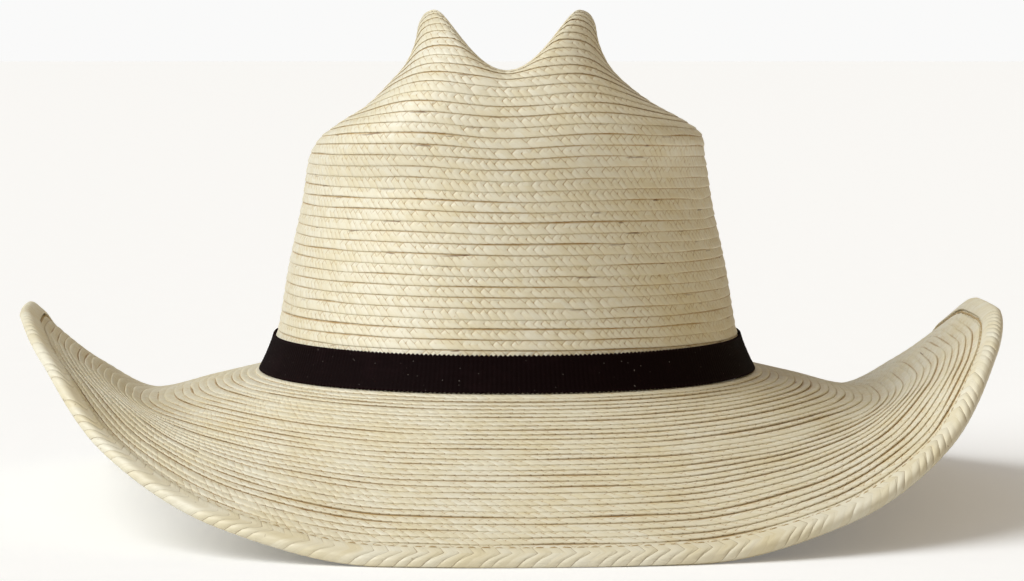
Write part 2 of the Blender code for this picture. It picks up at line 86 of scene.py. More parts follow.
def smooth_min(first: Array, second: Array, rounding: Array) -> Array:
    """The lower of two heights, rounded where they cross."""
    near = np.maximum(rounding - np.abs(first - second), 0.0) / rounding
    return np.minimum(first, second) - near * near * rounding / 4.0


def through(values: Sequence[float], places: Sequence[float], at: Array) -> Array:
    """A smooth curve through values at rising places, without overshoot.

    Args:
        values: The curve's heights.
        places: Where it has them, rising.
        at: Where it is read.

    Returns:
        The curve's heights at those places.
    """
    values, places = np.asarray(values, float), np.asarray(places, float)
    width = np.diff(places)
    slope = np.diff(values) / width
    tangent = np.empty_like(values)
    tangent[0], tangent[-1] = slope[0], slope[-1]
    for i in range(1, len(values) - 1):
        before, after = slope[i - 1], slope[i]
        near = 2.0 * width[i] + width[i - 1]
        far = width[i] + 2.0 * width[i - 1]
        turns_back = before * after <= 0.0
        tangent[i] = 0.0 if turns_back else (near + far) / (near / before + far / after)
    span = np.clip(np.searchsorted(places, at, side="right") - 1, 0, len(places) - 2)
    t = (at - places[span]) / width[span]
    rise = values[span] * (1 + 2 * t) * (1 - t) ** 2 + values[span + 1] * t * t * (3 - 2 * t)
    bend = tangent[span] * t * (1 - t) ** 2 + tangent[span + 1] * t * t * (t - 1)
    return rise + width[span] * bend


def oval_radius(angle: Array, half_width: Array, half_length: Array, power: Array) -> Array:
    """Distance from the middle to a superellipse at an angle in radians."""
    across = np.abs(np.cos(angle)) / np.maximum(half_width, 1e-6)
    along = np.abs(np.sin(angle)) / np.maximum(half_length, 1e-6)
    return (across ** power + along ** power) ** (-1.0 / power)


def unit(vectors: Array) -> Array:
    """Vectors brought to length 1."""
    return vectors / np.maximum(np.linalg.norm(vectors, axis=-1, keepdims=True), 1e-12)


def arc_lengths(points: Array) -> Array:
    """Distance along a line of points, from 0 at the first."""
    steps = np.linalg.norm(np.diff(points, axis=0), axis=-1)
    return np.concatenate([np.zeros((1, *steps.shape[1:])), np.cumsum(steps, axis=0)])


def wander(count: int, every: float, rng: np.random.Generator) -> Array:
    """A smooth random line between -1 and 1 that turns about once in so many steps."""
    knots = rng.uniform(-1.0, 1.0, int(count / every) + 3)
    place = np.arange(count) / every
    first = place.astype(int)
    share = place - first
    share = share * share * (3.0 - 2.0 * share)
    return knots[first] * (1.0 - share) + knots[first + 1] * share


# ---- the hat's form -----------------------------------------------------------------------------
@dataclass(frozen=True)
class HatForm:
    """Sizes of the hat and the formulas of its outer face, as the CAD has them."""

    half_width: float = 0.0895
    half_length: float = 0.1060
    crown_height: float = 0.1340
    ridge_spread: float = 0.29
    ridge_drop_front: float = 0.0025
    ridge_drop_back: float = 0.0065
    ridge_run: float = 0.0600
    crease_depth: float = 0.0225
    crease_rounding: float = 0.0080
    ridge_rounding: float = 0.0030
    dent_depth: float = 0.0050
    dent_half_length: float = 0.0380
    dent_grows: tuple = (0.63, 0.75)        # shares of the crown's height between which it starts
    dent_ends: tuple = (0.84, 0.94)
    shoulder_lean: float = 0.0027
    lean_grows: tuple = (0.57, 0.67)
    lean_ends: tuple = (0.70, 0.80)
    back_slope: float = 0.07
    block: tuple = (                        # height, width and length, from headline to tip
        (0.000, 1.000, 1.000), (0.045, 0.968, 0.977), (0.105, 0.936, 0.955),
        (0.284, 0.889, 0.915), (0.448, 0.836, 0.882), (0.567, 0.807, 0.863),
        (0.627, 0.777, 0.854), (0.672, 0.709, 0.844), (0.716, 0.603, 0.830),
        (0.769, 0.501, 0.802), (0.828, 0.416, 0.750), (0.888, 0.373, 0.679),
        (0.940, 0.351, 0.585), (0.974, 0.313, 0.481), (0.993, 0.201, 0.321),
        (1.000, 0.000, 0.000),
    )
    base_squareness: float = 2.15
    top_squareness: float = 4.50
    squares_off: tuple = (0.5, 0.9)
    reach_side: float = 0.0825
    reach_end: float = 0.0890
    brim_squareness: float = 2.46
    brim_turn: float = 3.1
    side_rise: float = 0.0220
    side_dip: float = 0.0089
    end_drop: float = 0.0433
    side_shape: tuple = (0.0, 0.51, 1.0)
    side_three_quarter: float = 0.187
    end_shape: tuple = (0.0, 0.165, 0.385, 0.66, 1.0)
    # Degrees away from the side, and how much of the side's curl is left there.
    curl_front: tuple = ((0, 1.0), (15, 1.0), (30, 0.845), (45, 0.46), (60, 0.158),
                         (75, 0.01), (90, 0.0))
    curl_back: tuple = ((0, 1.0), (15, 0.855), (30, 0.41), (45, 0.235), (60, 0.145),
                        (75, 0.02), (90, 0.0))
    braid_thickness: float = 0.0018
    gap: float = 0.0003
    slot_half: float = 0.0012
    rim_wall: float = 0.0009
    rim_lap: float = -0.0028
    rim_bend: float = 0.0014
    rest_flat: float = 0.0006
    flare_top: float = 0.0140
    segments: int = 64

    def crown_point(self, angle: Array, rise: Array) -> Array:
        """Points on the crown, with the headline at height 0.

        Args:
            angle: Angles round from +X, in radians.
            rise: 0 at the headline and 1 at the tip.

        Returns:
            Points, one for each pair of angle and rise.
        """
        places = np.linspace(0.0, 1.0, len(self.block))
        height, width, length = (
            through([row[i] for row in self.block], places, rise) for i in range(3))
        width, length = self.half_width * width, self.half_length * length
        length = length * np.where(np.sin(angle) > 0.0, 1.0 - self.back_slope * height ** 2, 1.0)
        power = self.base_squareness + (
            self.top_squareness - self.base_squareness) * smoothstep(*self.squares_off, height)
        radius = oval_radius(angle, width, length, power)
        along = radius * np.sin(angle) / self.dent_half_length
        dent = smoothstep(*self.dent_grows, height) * (1.0 - smoothstep(*self.dent_ends, height))
        radius = radius - self.dent_depth * dent * np.exp(-along ** 2) * np.abs(np.cos(angle))
        lean = smoothstep(*self.lean_grows, height) * (1.0 - smoothstep(*self.lean_ends, height))
        radius = radius + self.shoulder_lean * lean * np.cos(angle)
        x, y = radius * np.cos(angle), radius * np.sin(angle)
        off_middle = np.clip(np.abs(x) / (self.ridge_spread * self.half_width), 0.0, 1.0)
        rounding = self.crease_rounding + (self.ridge_rounding - self.crease_rounding) * off_middle
        drop = self.ridge_drop_front + (
            self.ridge_drop_back - self.ridge_drop_front) * smoothstep(
                -self.ridge_run, self.ridge_run, y)
        crease = self.crown_height - drop - self.crease_depth * (1.0 - off_middle ** 2) ** 1.5
        top = smooth_min(height * self.crown_height, crease, rounding)
        return np.stack([x, y, top], axis=-1)

    def brim_point(self, angle: Array, reach: Array) -> Array:
        """Points on the brim, with the headline at height 0.

        Args:
            angle: Angles round from +X, in radians.
            reach: 0 at the headline and 1 at the edge.

        Returns:
            Points, one for each pair of angle and reach.
        """
        turned = angle - math.radians(self.brim_turn)
        inner = oval_radius(angle, self.half_width, self.half_length, self.base_squareness)
        outer = oval_radius(turned, self.half_width + self.reach_side,
                            self.half_length + self.reach_end, self.brim_squareness)
        radius = inner + (outer - inner) * reach
        off_side = np.degrees(np.arctan2(np.abs(np.sin(turned)), np.abs(np.cos(turned))))
        curl = np.where(np.sin(turned) < 0.0, self.curl_left(self.curl_front, off_side),
                        self.curl_left(self.curl_back, off_side))
        quarters = np.linspace(0.0, 1.0, len(self.end_shape))
        heights = [-self.side_dip * share for share in self.side_shape]
        heights += [self.side_rise * self.side_three_quarter, self.side_rise]
        side = through(heights, quarters, reach)
        end = -self.end_drop * through(self.end_shape, quarters, reach)
        height = curl * side + (1.0 - curl) * end
        return np.stack([radius * np.cos(angle), radius * np.sin(angle), height], axis=-1)

    @staticmethod
    def curl_left(table: tuple, off_side: Array) -> Array:
        """Read a curl table, carried on past both ends so that it levels out there."""
        places = [-table[1][0]] + [row[0] for row in table] + [180.0 - table[-2][0]]
        values = [table[1][1]] + [row[1] for row in table] + [table[-2][1]]
        return through(values, places, off_side)

    def frame_at(self, point_of: Callable, angle: Array, share: Array, outward: float) -> tuple:
        """Points with the direction outwards along the face and the outward normal.

        Args:
            point_of: crown_point or brim_point.
            angle: Angles in radians.
            share: The crown's rise or the brim's reach.
            outward: -1 on the crown, whose rise runs towards the tip, and 1 on the brim.

        Returns:
            Points, directions along the face and normals.
        """
        step = 1e-4
        low, high = np.clip(share - step, 0.0, 1.0), np.clip(share + step, 0.0, 1.0)
        along = outward * (point_of(angle, high) - point_of(angle, low))
        round_it = point_of(angle + step, share) - point_of(angle - step, share)
        normal = unit(np.cross(along, round_it))
        return point_of(angle, share), unit(np.cross(round_it, normal)), normal

    def rise_at(self, height: Array) -> Array:
        """The rise at which the crown reaches a height above the headline."""
        rises = np.linspace(0.0, 1.0, 2001)
        places = np.linspace(0.0, 1.0, len(self.block))
        heights = through([row[0] for row in self.block], places, rises)
        return np.interp(height / self.crown_height, heights, rises)

    def beside_crown(self, side: Side, angle: Array, height: Array, off: Array) -> Array:
        """Points off the crown's face.

        Args:
            side: Inside or outside the crown.
            angle: Angles in radians.
            height: Heights above the headline.
            off: Distances from the crown's outer face, to that side.

        Returns:
            The points. Inside, a line goes straight down below the flare of the crown's foot.
        """
        top = np.maximum(height, self.flare_top) if side is Side.INSIDE else height
        point, along, normal = self.frame_at(self.crown_point, angle, self.rise_at(top), -1.0)
        if side is Side.OUTSIDE:
            return point + normal * off[..., None]
        point = point - normal * off[..., None]
        straight = along / np.maximum(-along[..., 2:3], 1e-6)
        return point + straight * (point[..., 2:3] - height[..., None])

    def rim_point(self, angle: Array, forward: Array, out: Array) -> Array:
        """Points near the brim's edge.

        Args:
            angle: Angles in radians.
            forward: Distances past the edge.
            out: Distances off the outer face.

        Returns:
            The points.
        """
        reach = 1.0 + np.minimum(forward, 0.0) / self.reach_side
        point, along, normal = self.frame_at(self.brim_point, angle, reach, 1.0)
        return point + along * np.maximum(forward, 0.0)[..., None] + normal * out[..., None]

    @property
    def raised(self) -> Array:
        """The step from the headline at height 0 to its height above the floor."""
        return np.array([0.0, 0.0, self.lift])

    @property
    def fold_radius(self) -> float:
        """Radius of the folded rim round the wire."""
        return self.slot_half + self.rim_wall

    @property
    def lift(self) -> float:
        """Height of the headline above the floor, with the rim pressed flat where it rests."""
        ring = np.arange(self.segments) * TURN / self.segments
        under = -self.braid_thickness / 2.0 - self.fold_radius
        turns = np.radians([0.0, -45.0, -90.0])
        spots = [(self.rim_bend + self.fold_radius * math.cos(t),
                  -self.braid_thickness / 2.0 + self.fold_radius * math.sin(t)) for t in turns]
        spots += [(0.0, under), (self.rim_lap, under)]
        lowest = min(
            float(self.rim_point(ring, np.full_like(ring, forward),
                                 np.full_like(ring, out))[:, 2].min())
            for forward, out in spots)
        return -(lowest + self.rest_flat)


class RowMap:
    """Points and outward normals of the crown or the brim, read by row number and angle."""

    PER_ROW = 8             # grid lines in one row
    ANGLES = 720            # grid lines in one turn
    CROWDING = 2.6          # power by which the rows near the tip arch and draw together

    def __init__(self, points: Array, rows: int) -> None:
        """Keep a grid of points, whose first axis is the row and whose second is the angle."""
        down = np.gradient(points, axis=0)
        round_it = np.roll(points, -1, axis=1) - np.roll(points, 1, axis=1)
        normal = unit(np.cross(down, round_it))
        flat = np.linalg.norm(round_it, axis=-1) < 1e-7
        normal[flat] = (0.0, 0.0, 1.0)
        self.grid = np.concatenate([points, normal], axis=-1)
        self.rows = rows

    @classmethod
    def on_crown(cls, form: HatForm, rows: int, pitch: float) -> "RowMap":
        """Rows that lie level low on the crown and arch over its ridges higher up.

        Args:
            form: The hat's form.
            rows: How many rows there are from the tip to the headline.
            pitch: Their spacing on the wall.

        Returns:
            The map, with row 0 at the tip.
        """
        angle = np.arange(cls.ANGLES) * TURN / cls.ANGLES
        rise = np.linspace(0.0, 1.0, 801)
        arc = arc_lengths(form.crown_point(angle[None, :], rise[:, None]))
        up = np.linspace(rows, 0.0, rows * cls.PER_ROW + 1)[:, None]
        climb = pitch * up + (arc[-1][None, :] - pitch * rows) * (up / rows) ** cls.CROWDING
        rises = [np.interp(climb[:, j], arc[:, j], rise) for j in range(cls.ANGLES)]
        return cls(form.crown_point(angle[None, :], np.stack(rises, axis=1)), rows)

    @classmethod
    def on_brim(cls, form: HatForm, rows: int) -> "RowMap":
        """Rows that share out the brim's width evenly, with row 0 at the headline."""
        angle = np.arange(cls.ANGLES) * TURN / cls.ANGLES
        reach = np.linspace(0.0, 1.0, 401)
        arc = arc_lengths(form.brim_point(angle[None, :], reach[:, None]))
        share = np.linspace(0.0, 1.0, rows * cls.PER_ROW + 1)
        reaches = [np.interp(share * arc[-1, j], arc[:, j], reach) for j in range(cls.ANGLES)]
        return cls(form.brim_point(angle[None, :], np.stack(reaches, axis=1)), rows)

    def at(self, row: Array, angle: Array) -> tuple:
        """Read points and normals between the grid's own.

        Args:
            row: Row numbers, with fractions.
            angle: Angles in radians.

        Returns:
            The points and the normals.
        """
        down = np.clip(row, 0.0, self.rows) * self.PER_ROW
        i = np.minimum(down.astype(int), len(self.grid) - 2)
        round_it = (angle / TURN % 1.0) * self.ANGLES
        j = round_it.astype(int) % self.ANGLES
        down, round_it = (down - i)[..., None], (round_it - np.floor(round_it))[..., None]
        after = (j + 1) % self.ANGLES
        upper = self.grid[i, j] * (1.0 - round_it) + self.grid[i, after] * round_it
        lower = self.grid[i + 1, j] * (1.0 - round_it) + self.grid[i + 1, after] * round_it
        read = upper * (1.0 - down) + lower * down
        return read[..., :3], unit(read[..., 3:])

    def turns_at(self, first: float, last: float) -> tuple:
        """The coil's turns between two rows, and the distance sewn by each of them."""
        turns = np.linspace(first, last, int((last - first) * self.ANGLES) + 2)
        points, _ = self.at(turns + 0.5, turns * TURN)
        return turns, arc_lengths(points)


# ---- meshes -------------------------------------------------------------------------------------
def add_object(name: str, mesh: bpy.types.Mesh) -> bpy.types.Object:
    """Place a mesh in the scene under its piece's name."""
    made = bpy.data.objects.new(name, mesh)
    bpy.context.scene.collection.objects.link(made)
    return made


def new_mesh(name: str, points: Array, corners: Array, sizes: Array) -> bpy.types.Mesh:
    """A smooth mesh.

    Args:
        name: The mesh's name.
        points: Its vertices, one row each.
        corners: The vertex numbers of all its faces, one face after another.
        sizes: How many of them each face has.

    Returns:
        The mesh.
    """
    mesh = bpy.data.meshes.new(name)
    mesh.vertices.add(len(points))
    mesh.vertices.foreach_set("co", points.astype(np.float32).ravel())
    mesh.loops.add(len(corners))
    mesh.loops.foreach_set("vertex_index", corners.astype(np.int32))
    mesh.polygons.add(len(sizes))
    starts = np.concatenate([[0], np.cumsum(sizes)[:-1]])
    mesh.polygons.foreach_set("loop_start", starts.astype(np.int32))
    mesh.update(calc_edges=True)
    mesh.validate()
    mesh.shade_smooth()
    return mesh


def store(mesh: bpy.types.Mesh, name: str, kind: str, domain: str, values: Array) -> None:
    """Write one attribute of a mesh for its material to read."""
    field = "vector" if kind == "FLOAT_VECTOR" else "value"
    mesh.attributes.new(name, kind, domain).data.foreach_set(
        field, np.ascontiguousarray(values, np.float32).ravel())


@dataclass(frozen=True)
class PlaitRow:
    """One line of a plait's section, followed from its covered edge over its face and back."""

    across: float       # place across the plait, in widths between two rows
    slant: float        # how far the strands have run forward here, in metres
    depth: float        # depth below the hat's outer face, in metres
    sink: float         # how deep the groove between two strands is here, in metres
    hole: float = 0.0   # how much deeper it is where strands cross
    strand: int = 0     # which of the cell's strands lies past this line
    mark: float = 0.0   # place across the visible face; the finish paints shade where it is near 0


@dataclass(frozen=True)
class Plait:
    """A flat plait: the section that is swept and how its strands repeat along it."""

    rows: tuple
    cell: float                             # length of one repeat
    columns: tuple = (0.0, 0.09, 0.91)      # lines along one repeat, a groove first
    lifts: tuple = (0.0, 0.0, 0.0)          # how far each of them stands proud
    scallop: float = 0.0                    # how far the strands' ends stand out past the edge
    waver: float = 0.0                      # how far the edge wanders
    unevenness: float = 0.08                # spread of the repeats' lengths
    short_wave: float = 21.0                # lines along the plait in a short wave of its edge
    long_wave: float = 110.0
    long_share: float = 0.8                 # size of the long waves beside the short ones
    edge_from: float = 0.8                  # place across the plait where its loose edge starts
    groove_span: tuple = (0.55, 1.15)       # how deep the grooves between strands run
    joined: float = 0.12                    # depth left where two strands lie as one
    joined_odds: tuple = (0.22, 0.6)        # how often they do, anywhere and in every second cell
    hole_shade: float = 0.3                  # how much more shade is painted into the holes where strands cross

    def sweep(self, name: str, length: float, place: Callable, rng: np.random.Generator,
              closed: bool = False) -> bpy.types.Mesh:
        """Lay the plait along a line.

        Args:
            name: The mesh's name.
            length: The line's length.
            place: Turns distances along the line, places across it and depths into points.
            rng: Source of the strands' unevenness.
            closed: True where the line is a ring.

        Returns:
            The closed mesh, with the attributes weave, groove (the mask for shade painted into the
            grooves) and tone.
        """
        count = max(3, round(length / self.cell))
        sizes = 1.0 + self.unevenness * rng.standard_normal(count).clip(-2.0, 2.0)
        edges = np.concatenate([[0.0], np.cumsum(sizes)]) / sizes.sum() * length
        cell = np.repeat(np.arange(count), len(self.columns))
        column = np.tile(np.arange(len(self.columns)), count)
        share = np.array(self.columns)[column]
        if not closed:
            cell = np.append(cell, count - 1)
            column, share = np.append(column, 0), np.append(share, 1.0)
        along = edges[cell] + share * (edges[cell + 1] - edges[cell])
        across = np.array([row.across for row in self.rows])
        strand = np.array([row.strand for row in self.rows])
        in_groove = (column == 0)[:, None]
        strength = self.strand_depths(count, int(strand.max()) + 1, rng)
        groove = strength[cell][:, strand] * in_groove
        sink = np.array([row.sink for row in self.rows])
        hole = np.array([row.hole for row in self.rows])
        depth = np.array([row.depth for row in self.rows])[None, :] + groove * (sink + hole)
        depth = depth - np.array(self.lifts)[column][:, None] * (sink > 0.0)
        edge = np.clip((across - self.edge_from) / (1.0 - self.edge_from), 0.0, 1.0)
        stand_out = self.scallop * np.where(in_groove, -1.0, 0.4)
        waves = wander(len(along), self.short_wave, rng)
        waves = waves + self.long_share * wander(len(along), self.long_wave, rng)
        stand_out = stand_out + self.waver * waves[:, None]
        across = across[None, :] + edge[None, :] * stand_out
        ahead = along[:, None] + np.array([row.slant for row in self.rows])[None, :]
        points = place(ahead, across, depth)
        # The grooves' depth, more at the holes where strands cross, as the mask for painted shade.
        groove_shade = groove * (1.0 + self.hole_shade * (hole > 0.0))
        return self.skin(name, points, cell, share, groove_shade, closed, rng)

    def strand_depths(self, count: int, strands: int, rng: np.random.Generator) -> Array:
        """How deep the groove before each strand is; now and then two strands lie as one."""
        depths = rng.uniform(*self.groove_span, (count, strands))
        anywhere, in_second = self.joined_odds
        joined = rng.random((count, strands)) < anywhere
        joined[:, 0] |= (np.arange(count) % 2 == 0) & (rng.random(count) < in_second)
        return np.where(joined, self.joined, depths)

    def skin(self, name: str, points: Array, cell: Array, share: Array, groove: Array,
             closed: bool, rng: np.random.Generator) -> bpy.types.Mesh:
        """Join the swept lines into a closed mesh and give it its attributes.

        Args:
            name: The mesh's name.
            points: The section's points on each line, first axis along the plait.
            cell: The cell that each line lies in.
            share: How far into its cell each line lies.
            groove: How deep each point lies in a groove, as the mask for painted shade.
            closed: True where the plait is a ring.
            rng: Source of the strands' tones.

        Returns:
            The mesh.
        """
        lines, turns = points.shape[:2]
        first = np.arange(lines if closed else lines - 1)[:, None]
        near = np.arange(turns)[None, :]
        far, second = (near + 1) % turns, (first + 1) % lines
        quads = np.stack([first * turns + near, first * turns + far,
                          second * turns + far, second * turns + near], axis=-1).reshape(-1, 4)
        caps = []
        if not closed:
            caps = [np.arange(turns)[::-1], (lines - 1) * turns + np.arange(turns)]
        sizes = np.concatenate([np.full(len(quads), 4), np.full(len(caps), turns)])
        mesh = new_mesh(name, points.reshape(-1, 3), np.concatenate([quads.ravel(), *caps]),
                        sizes)
        marks = np.array([row.mark for row in self.rows])
        weave = np.stack(np.broadcast_arrays(
            (cell + share)[:, None], marks[None, :], np.zeros((lines, turns))), axis=-1)
        store(mesh, "weave", "FLOAT_VECTOR", "POINT", weave)
        store(mesh, "groove", "FLOAT", "POINT", groove)
        strand = np.array([row.strand for row in self.rows])
        tones = rng.random((int(cell.max()) + 1, int(strand.max()) + 1))
        tone = tones[cell[first.ravel()]][:, strand].ravel()
        store(mesh, "tone", "FLOAT", "FACE", np.concatenate([tone, np.full(len(caps), 0.5)]))
        return mesh


# ---- finishes -----------------------------------------------------------------------------------
class Nodes:
    """A node tree, to which nodes are added and linked in short calls."""

    def __init__(self, tree: bpy.types.NodeTree) -> None:
        """Keep the tree."""
        self.tree = tree

    def fill(self, socket: bpy.types.NodeSocket, value: object) -> None:
        """Link an input to another node's output, or give it a plain number or colour."""
        if isinstance(value, bpy.types.NodeSocket):
            self.tree.links.new(value, socket)
        else:
            socket.default_value = (*value, 1.0) if socket.type == "RGBA" else value

    def node(self, kind: str, settings: dict | None = None, **inputs: object) -> bpy.types.Node:
        """Add a node.

        Args:
            kind: Its type.
            settings: Its properties.
            inputs: What its inputs get, by name, with _ for a space.

        Returns:
            The node.
        """
        made = self.tree.nodes.new(kind)
        for key, value in (settings or {}).items():
            setattr(made, key, value)
        for key, value in inputs.items():
            self.fill(made.inputs[key.replace("_", " ")], value)
        return made

    def attribute(self, name: str, output: str = "Fac") -> bpy.types.NodeSocket:
        """Read a mesh attribute."""
        return self.node("ShaderNodeAttribute", {"attribute_name": name}).outputs[output]

    def place(self, kind: str = "Object") -> bpy.types.NodeSocket:
        """The coordinates of the place that is shaded."""
        return self.node("ShaderNodeTexCoord").outputs[kind]

    def axes(self, where: bpy.types.NodeSocket) -> tuple:
        """X, Y and Z of coordinates."""
        return tuple(self.node("ShaderNodeSeparateXYZ", None, Vector=where).outputs)

    def seen(self) -> bpy.types.NodeSocket:
        """1 for what is seen straight, and 0 for what it lights."""
        return self.node("ShaderNodeLightPath").outputs["Is Camera Ray"]

    def noise(self, where: bpy.types.NodeSocket, stretch: tuple | float, detail: float = 2.0,
              rough: float = 0.5) -> bpy.types.NodeSocket:
        """Noise on coordinates stretched by so many waves a unit, along each axis or all."""
        stretch = stretch if isinstance(stretch, tuple) else (stretch,) * 3
        spread = self.node("ShaderNodeMapping", None, Vector=where, Scale=stretch)
        return self.node("ShaderNodeTexNoise", None, Vector=spread.outputs[0], Scale=1.0,
                         Detail=detail, Roughness=rough).outputs["Fac"]

    def span(self, value: bpy.types.NodeSocket, low: float, high: float, start: float = 0.0,
             end: float = 1.0) -> bpy.types.NodeSocket:
        """Map a value from low..high onto start..end, held there beyond."""
        return self.node("ShaderNodeMapRange", {"clamp": True}, Value=value, From_Min=low,
                         From_Max=high, To_Min=start, To_Max=end).outputs[0]

    def math(self, operation: str, first: object, second: object) -> bpy.types.NodeSocket:
        """Combine two numbers."""
        made = self.node("ShaderNodeMath", {"operation": operation})
        for socket, value in zip(made.inputs, (first, second)):
            self.fill(socket, value)
        return made.outputs[0]

    def mix(self, share: object, first: object, second: object) -> bpy.types.NodeSocket:
        """Mix two colours."""
        return self.node("ShaderNodeMixRGB", None, Fac=share, Color1=first,
                         Color2=second).outputs[0]


class Shader(Nodes):
    """One material's nodes."""

    def __init__(self, name: str) -> None:
        """Start a Principled material."""
        self.material = bpy.data.materials.new(name)
        self.material.use_nodes = True
        super().__init__(self.material.node_tree)

    def finish(self, colour: object, rough: object, relief: object, distance: float,
               strength: float, **plain: object) -> bpy.types.Material:
        """Fill in the surface.

        Args:
            colour: Its colour.
            rough: Its roughness.
            relief: The height that its bump follows.
            distance: How high the relief is, in metres.
            strength: How strongly it shows.
            plain: Further sockets of the surface and what they get.

        Returns:
            The material.
        """
        bump = self.node("ShaderNodeBump", None, Height=relief, Strength=strength,
                         Distance=distance).outputs[0]
        values = {"Base_Color": colour, "Roughness": rough, "Normal": bump, **plain}
        surface = self.tree.nodes["Principled BSDF"]
        for key, value in values.items():
            self.fill(surface.inputs[key.replace("_", " ")], value)
        return self.material


@dataclass(frozen=True)
class Finish(ABC):
    """One of the hat's finishes, which becomes a material."""

    name: str

    def build(self) -> bpy.types.Material:
        """Make the material."""
        return self.recipe(Shader(self.name))

    @abstractmethod
    def recipe(self, s: Shader) -> bpy.types.Material:
        """Add the finish's nodes to a new material."""


@dataclass(frozen=True)
class PalmStraw(Finish):
    """Bleached palm leaf: split strands, with shade painted into the grooves, the holes where
    strands cross and under each row's edge.
    """

    name: str = "palm_straw"
    pale: tuple = (0.82, 0.77, 0.61)
    warm: tuple = (0.75, 0.66, 0.435)
    fibre: tuple = (0.64, 0.53, 0.32)
    shade_and_speck_brown: tuple = (0.43, 0.245, 0.058)
    stain: tuple = (0.17, 0.075, 0.022)
    lap_shade_width: float = 0.13        # of a row, under the next row's edge, where shade is painted
    lap_shade_strength: float = 0.95
    groove_shade_strength: float = 0.92
    cross_shade_strength: float = 0.60    # painted shade of the strands that run the other way in a row's upper half
    low_share: float = 0.45         # of the grooves' painted shade left in a row's lower half
    cross_slope: float = 2.41       # cells that such a strand crosses over a row
    roughness: float = 0.50

    def recipe(self, s: Shader) -> bpy.types.Material:
        """Add the nodes."""
        weave = s.attribute("weave", "Vector")
        along, across, _ = s.axes(weave)
        fibres = s.noise(weave, (13.0, 0.9, 1.0), 3.0, 0.6)
        patches = s.noise(s.place(), (34.0, 34.0, 60.0), 3.0)
        # Painted shade in the fine grooves of the strands that run the other way across a row's
        # upper half; the bump follows them too.
        crossing = s.math("SUBTRACT", along, s.math("MULTIPLY", across, self.cross_slope))
        upper = s.span(across, 0.44, 0.54, 1.0, 0.0)
        off_line = s.math("PINGPONG", s.math("ADD", crossing, 0.2), 0.5)
        chance = s.node("ShaderNodeTexWhiteNoise", {"noise_dimensions": "1D"},
                        W=s.math("FLOOR", s.math("ADD", crossing, 0.7), 0.0)).outputs["Value"]
        cross = s.math("MULTIPLY", s.span(off_line, 0.025, 0.085, 1.0, 0.0),
                       s.math("MULTIPLY", upper, s.span(chance, 0.2, 0.5, 0.15, 1.0)))
        tone = s.math("ADD", s.span(s.attribute("tone"), 0.0, 1.0, -0.22, 0.3),
                      s.span(patches, 0.3, 0.72, 0.0, 0.75))
        tone = s.math("ADD", tone, s.math("MULTIPLY", upper, s.span(chance, 0.0, 1.0, -0.2, 0.2)))
        colour = s.mix(tone, self.pale, self.warm)
        colour = s.mix(s.span(fibres, 0.5, 0.72, 0.0, 0.30), colour, self.fibre)
        # Painted shade in the grooves between strands and the holes where they cross.
        groove = s.math("MULTIPLY", s.math("POWER", s.attribute("groove"), 1.3),
                        s.span(across, 0.48, 0.62, self.groove_shade_strength,
                               self.groove_shade_strength * self.low_share))
        # Painted shade under the next row's lapping edge, broken here and there along the row.
        broken = s.noise(weave, (0.33, 0.0, 1.0), 3.0, 0.7)
        line = s.math("MULTIPLY", s.span(across, 0.02, self.lap_shade_width, 1.0, 0.0),
                      s.span(broken, 0.32, 0.58, 0.35, self.lap_shade_strength))
        specks = s.span(s.noise(s.place(), 420.0, 1.0), 0.77, 0.82, 0.0, 0.55)
        # Painted shade of the grooves, holes and lapping edges, and the straw's real flecks, all
        # mixed towards one darker colour.
        shade = s.math("MAXIMUM", s.math("MAXIMUM", groove, line),
                       s.math("MAXIMUM", specks, s.math("MULTIPLY", cross, self.cross_shade_strength)))
        colour = s.mix(shade, colour, self.shade_and_speck_brown)
        dashes = s.math("MULTIPLY", s.span(s.noise(weave, (0.22, 2.0, 1.0), 2.0, 0.6),
                                           0.655, 0.69, 0.0, 0.8),
                        s.span(across, 0.10, 0.32, 1.0, 0.0))
        colour = s.mix(dashes, colour, self.stain)
        rough = s.span(fibres, 0.2, 0.8, self.roughness - 0.1, self.roughness + 0.14)
        relief = s.math("SUBTRACT", fibres, s.math("MULTIPLY", cross, 1.2))
        return s.finish(colour, rough, relief, 0.00007, 0.55, Coat_Weight=0.22,
                        Coat_Roughness=0.32, Specular_IOR_Level=0.45)


@dataclass(frozen=True)
class SewingThread(Finish):
    """Twisted thread."""

    name: str = "brown_thread"
    colour: tuple = (0.36, 0.235, 0.085)
    light: tuple = (0.56, 0.41, 0.19)
    twists: float = 1900.0

    def recipe(self, s: Shader) -> bpy.types.Material:
        """Add the nodes."""
        turned = s.node("ShaderNodeMapping", None, Vector=s.place(), Rotation=(0.5, 0.6, 0.7))
        ply = s.node("ShaderNodeTexWave", None, Vector=turned.outputs[0], Scale=self.twists,
                     Distortion=1.5, Detail=1.0).outputs["Fac"]
        colour = s.mix(ply, self.colour, self.light)
        return s.finish(colour, 0.8, ply, 0.00008, 0.6, Sheen_Weight=0.3, Sheen_Roughness=0.5)


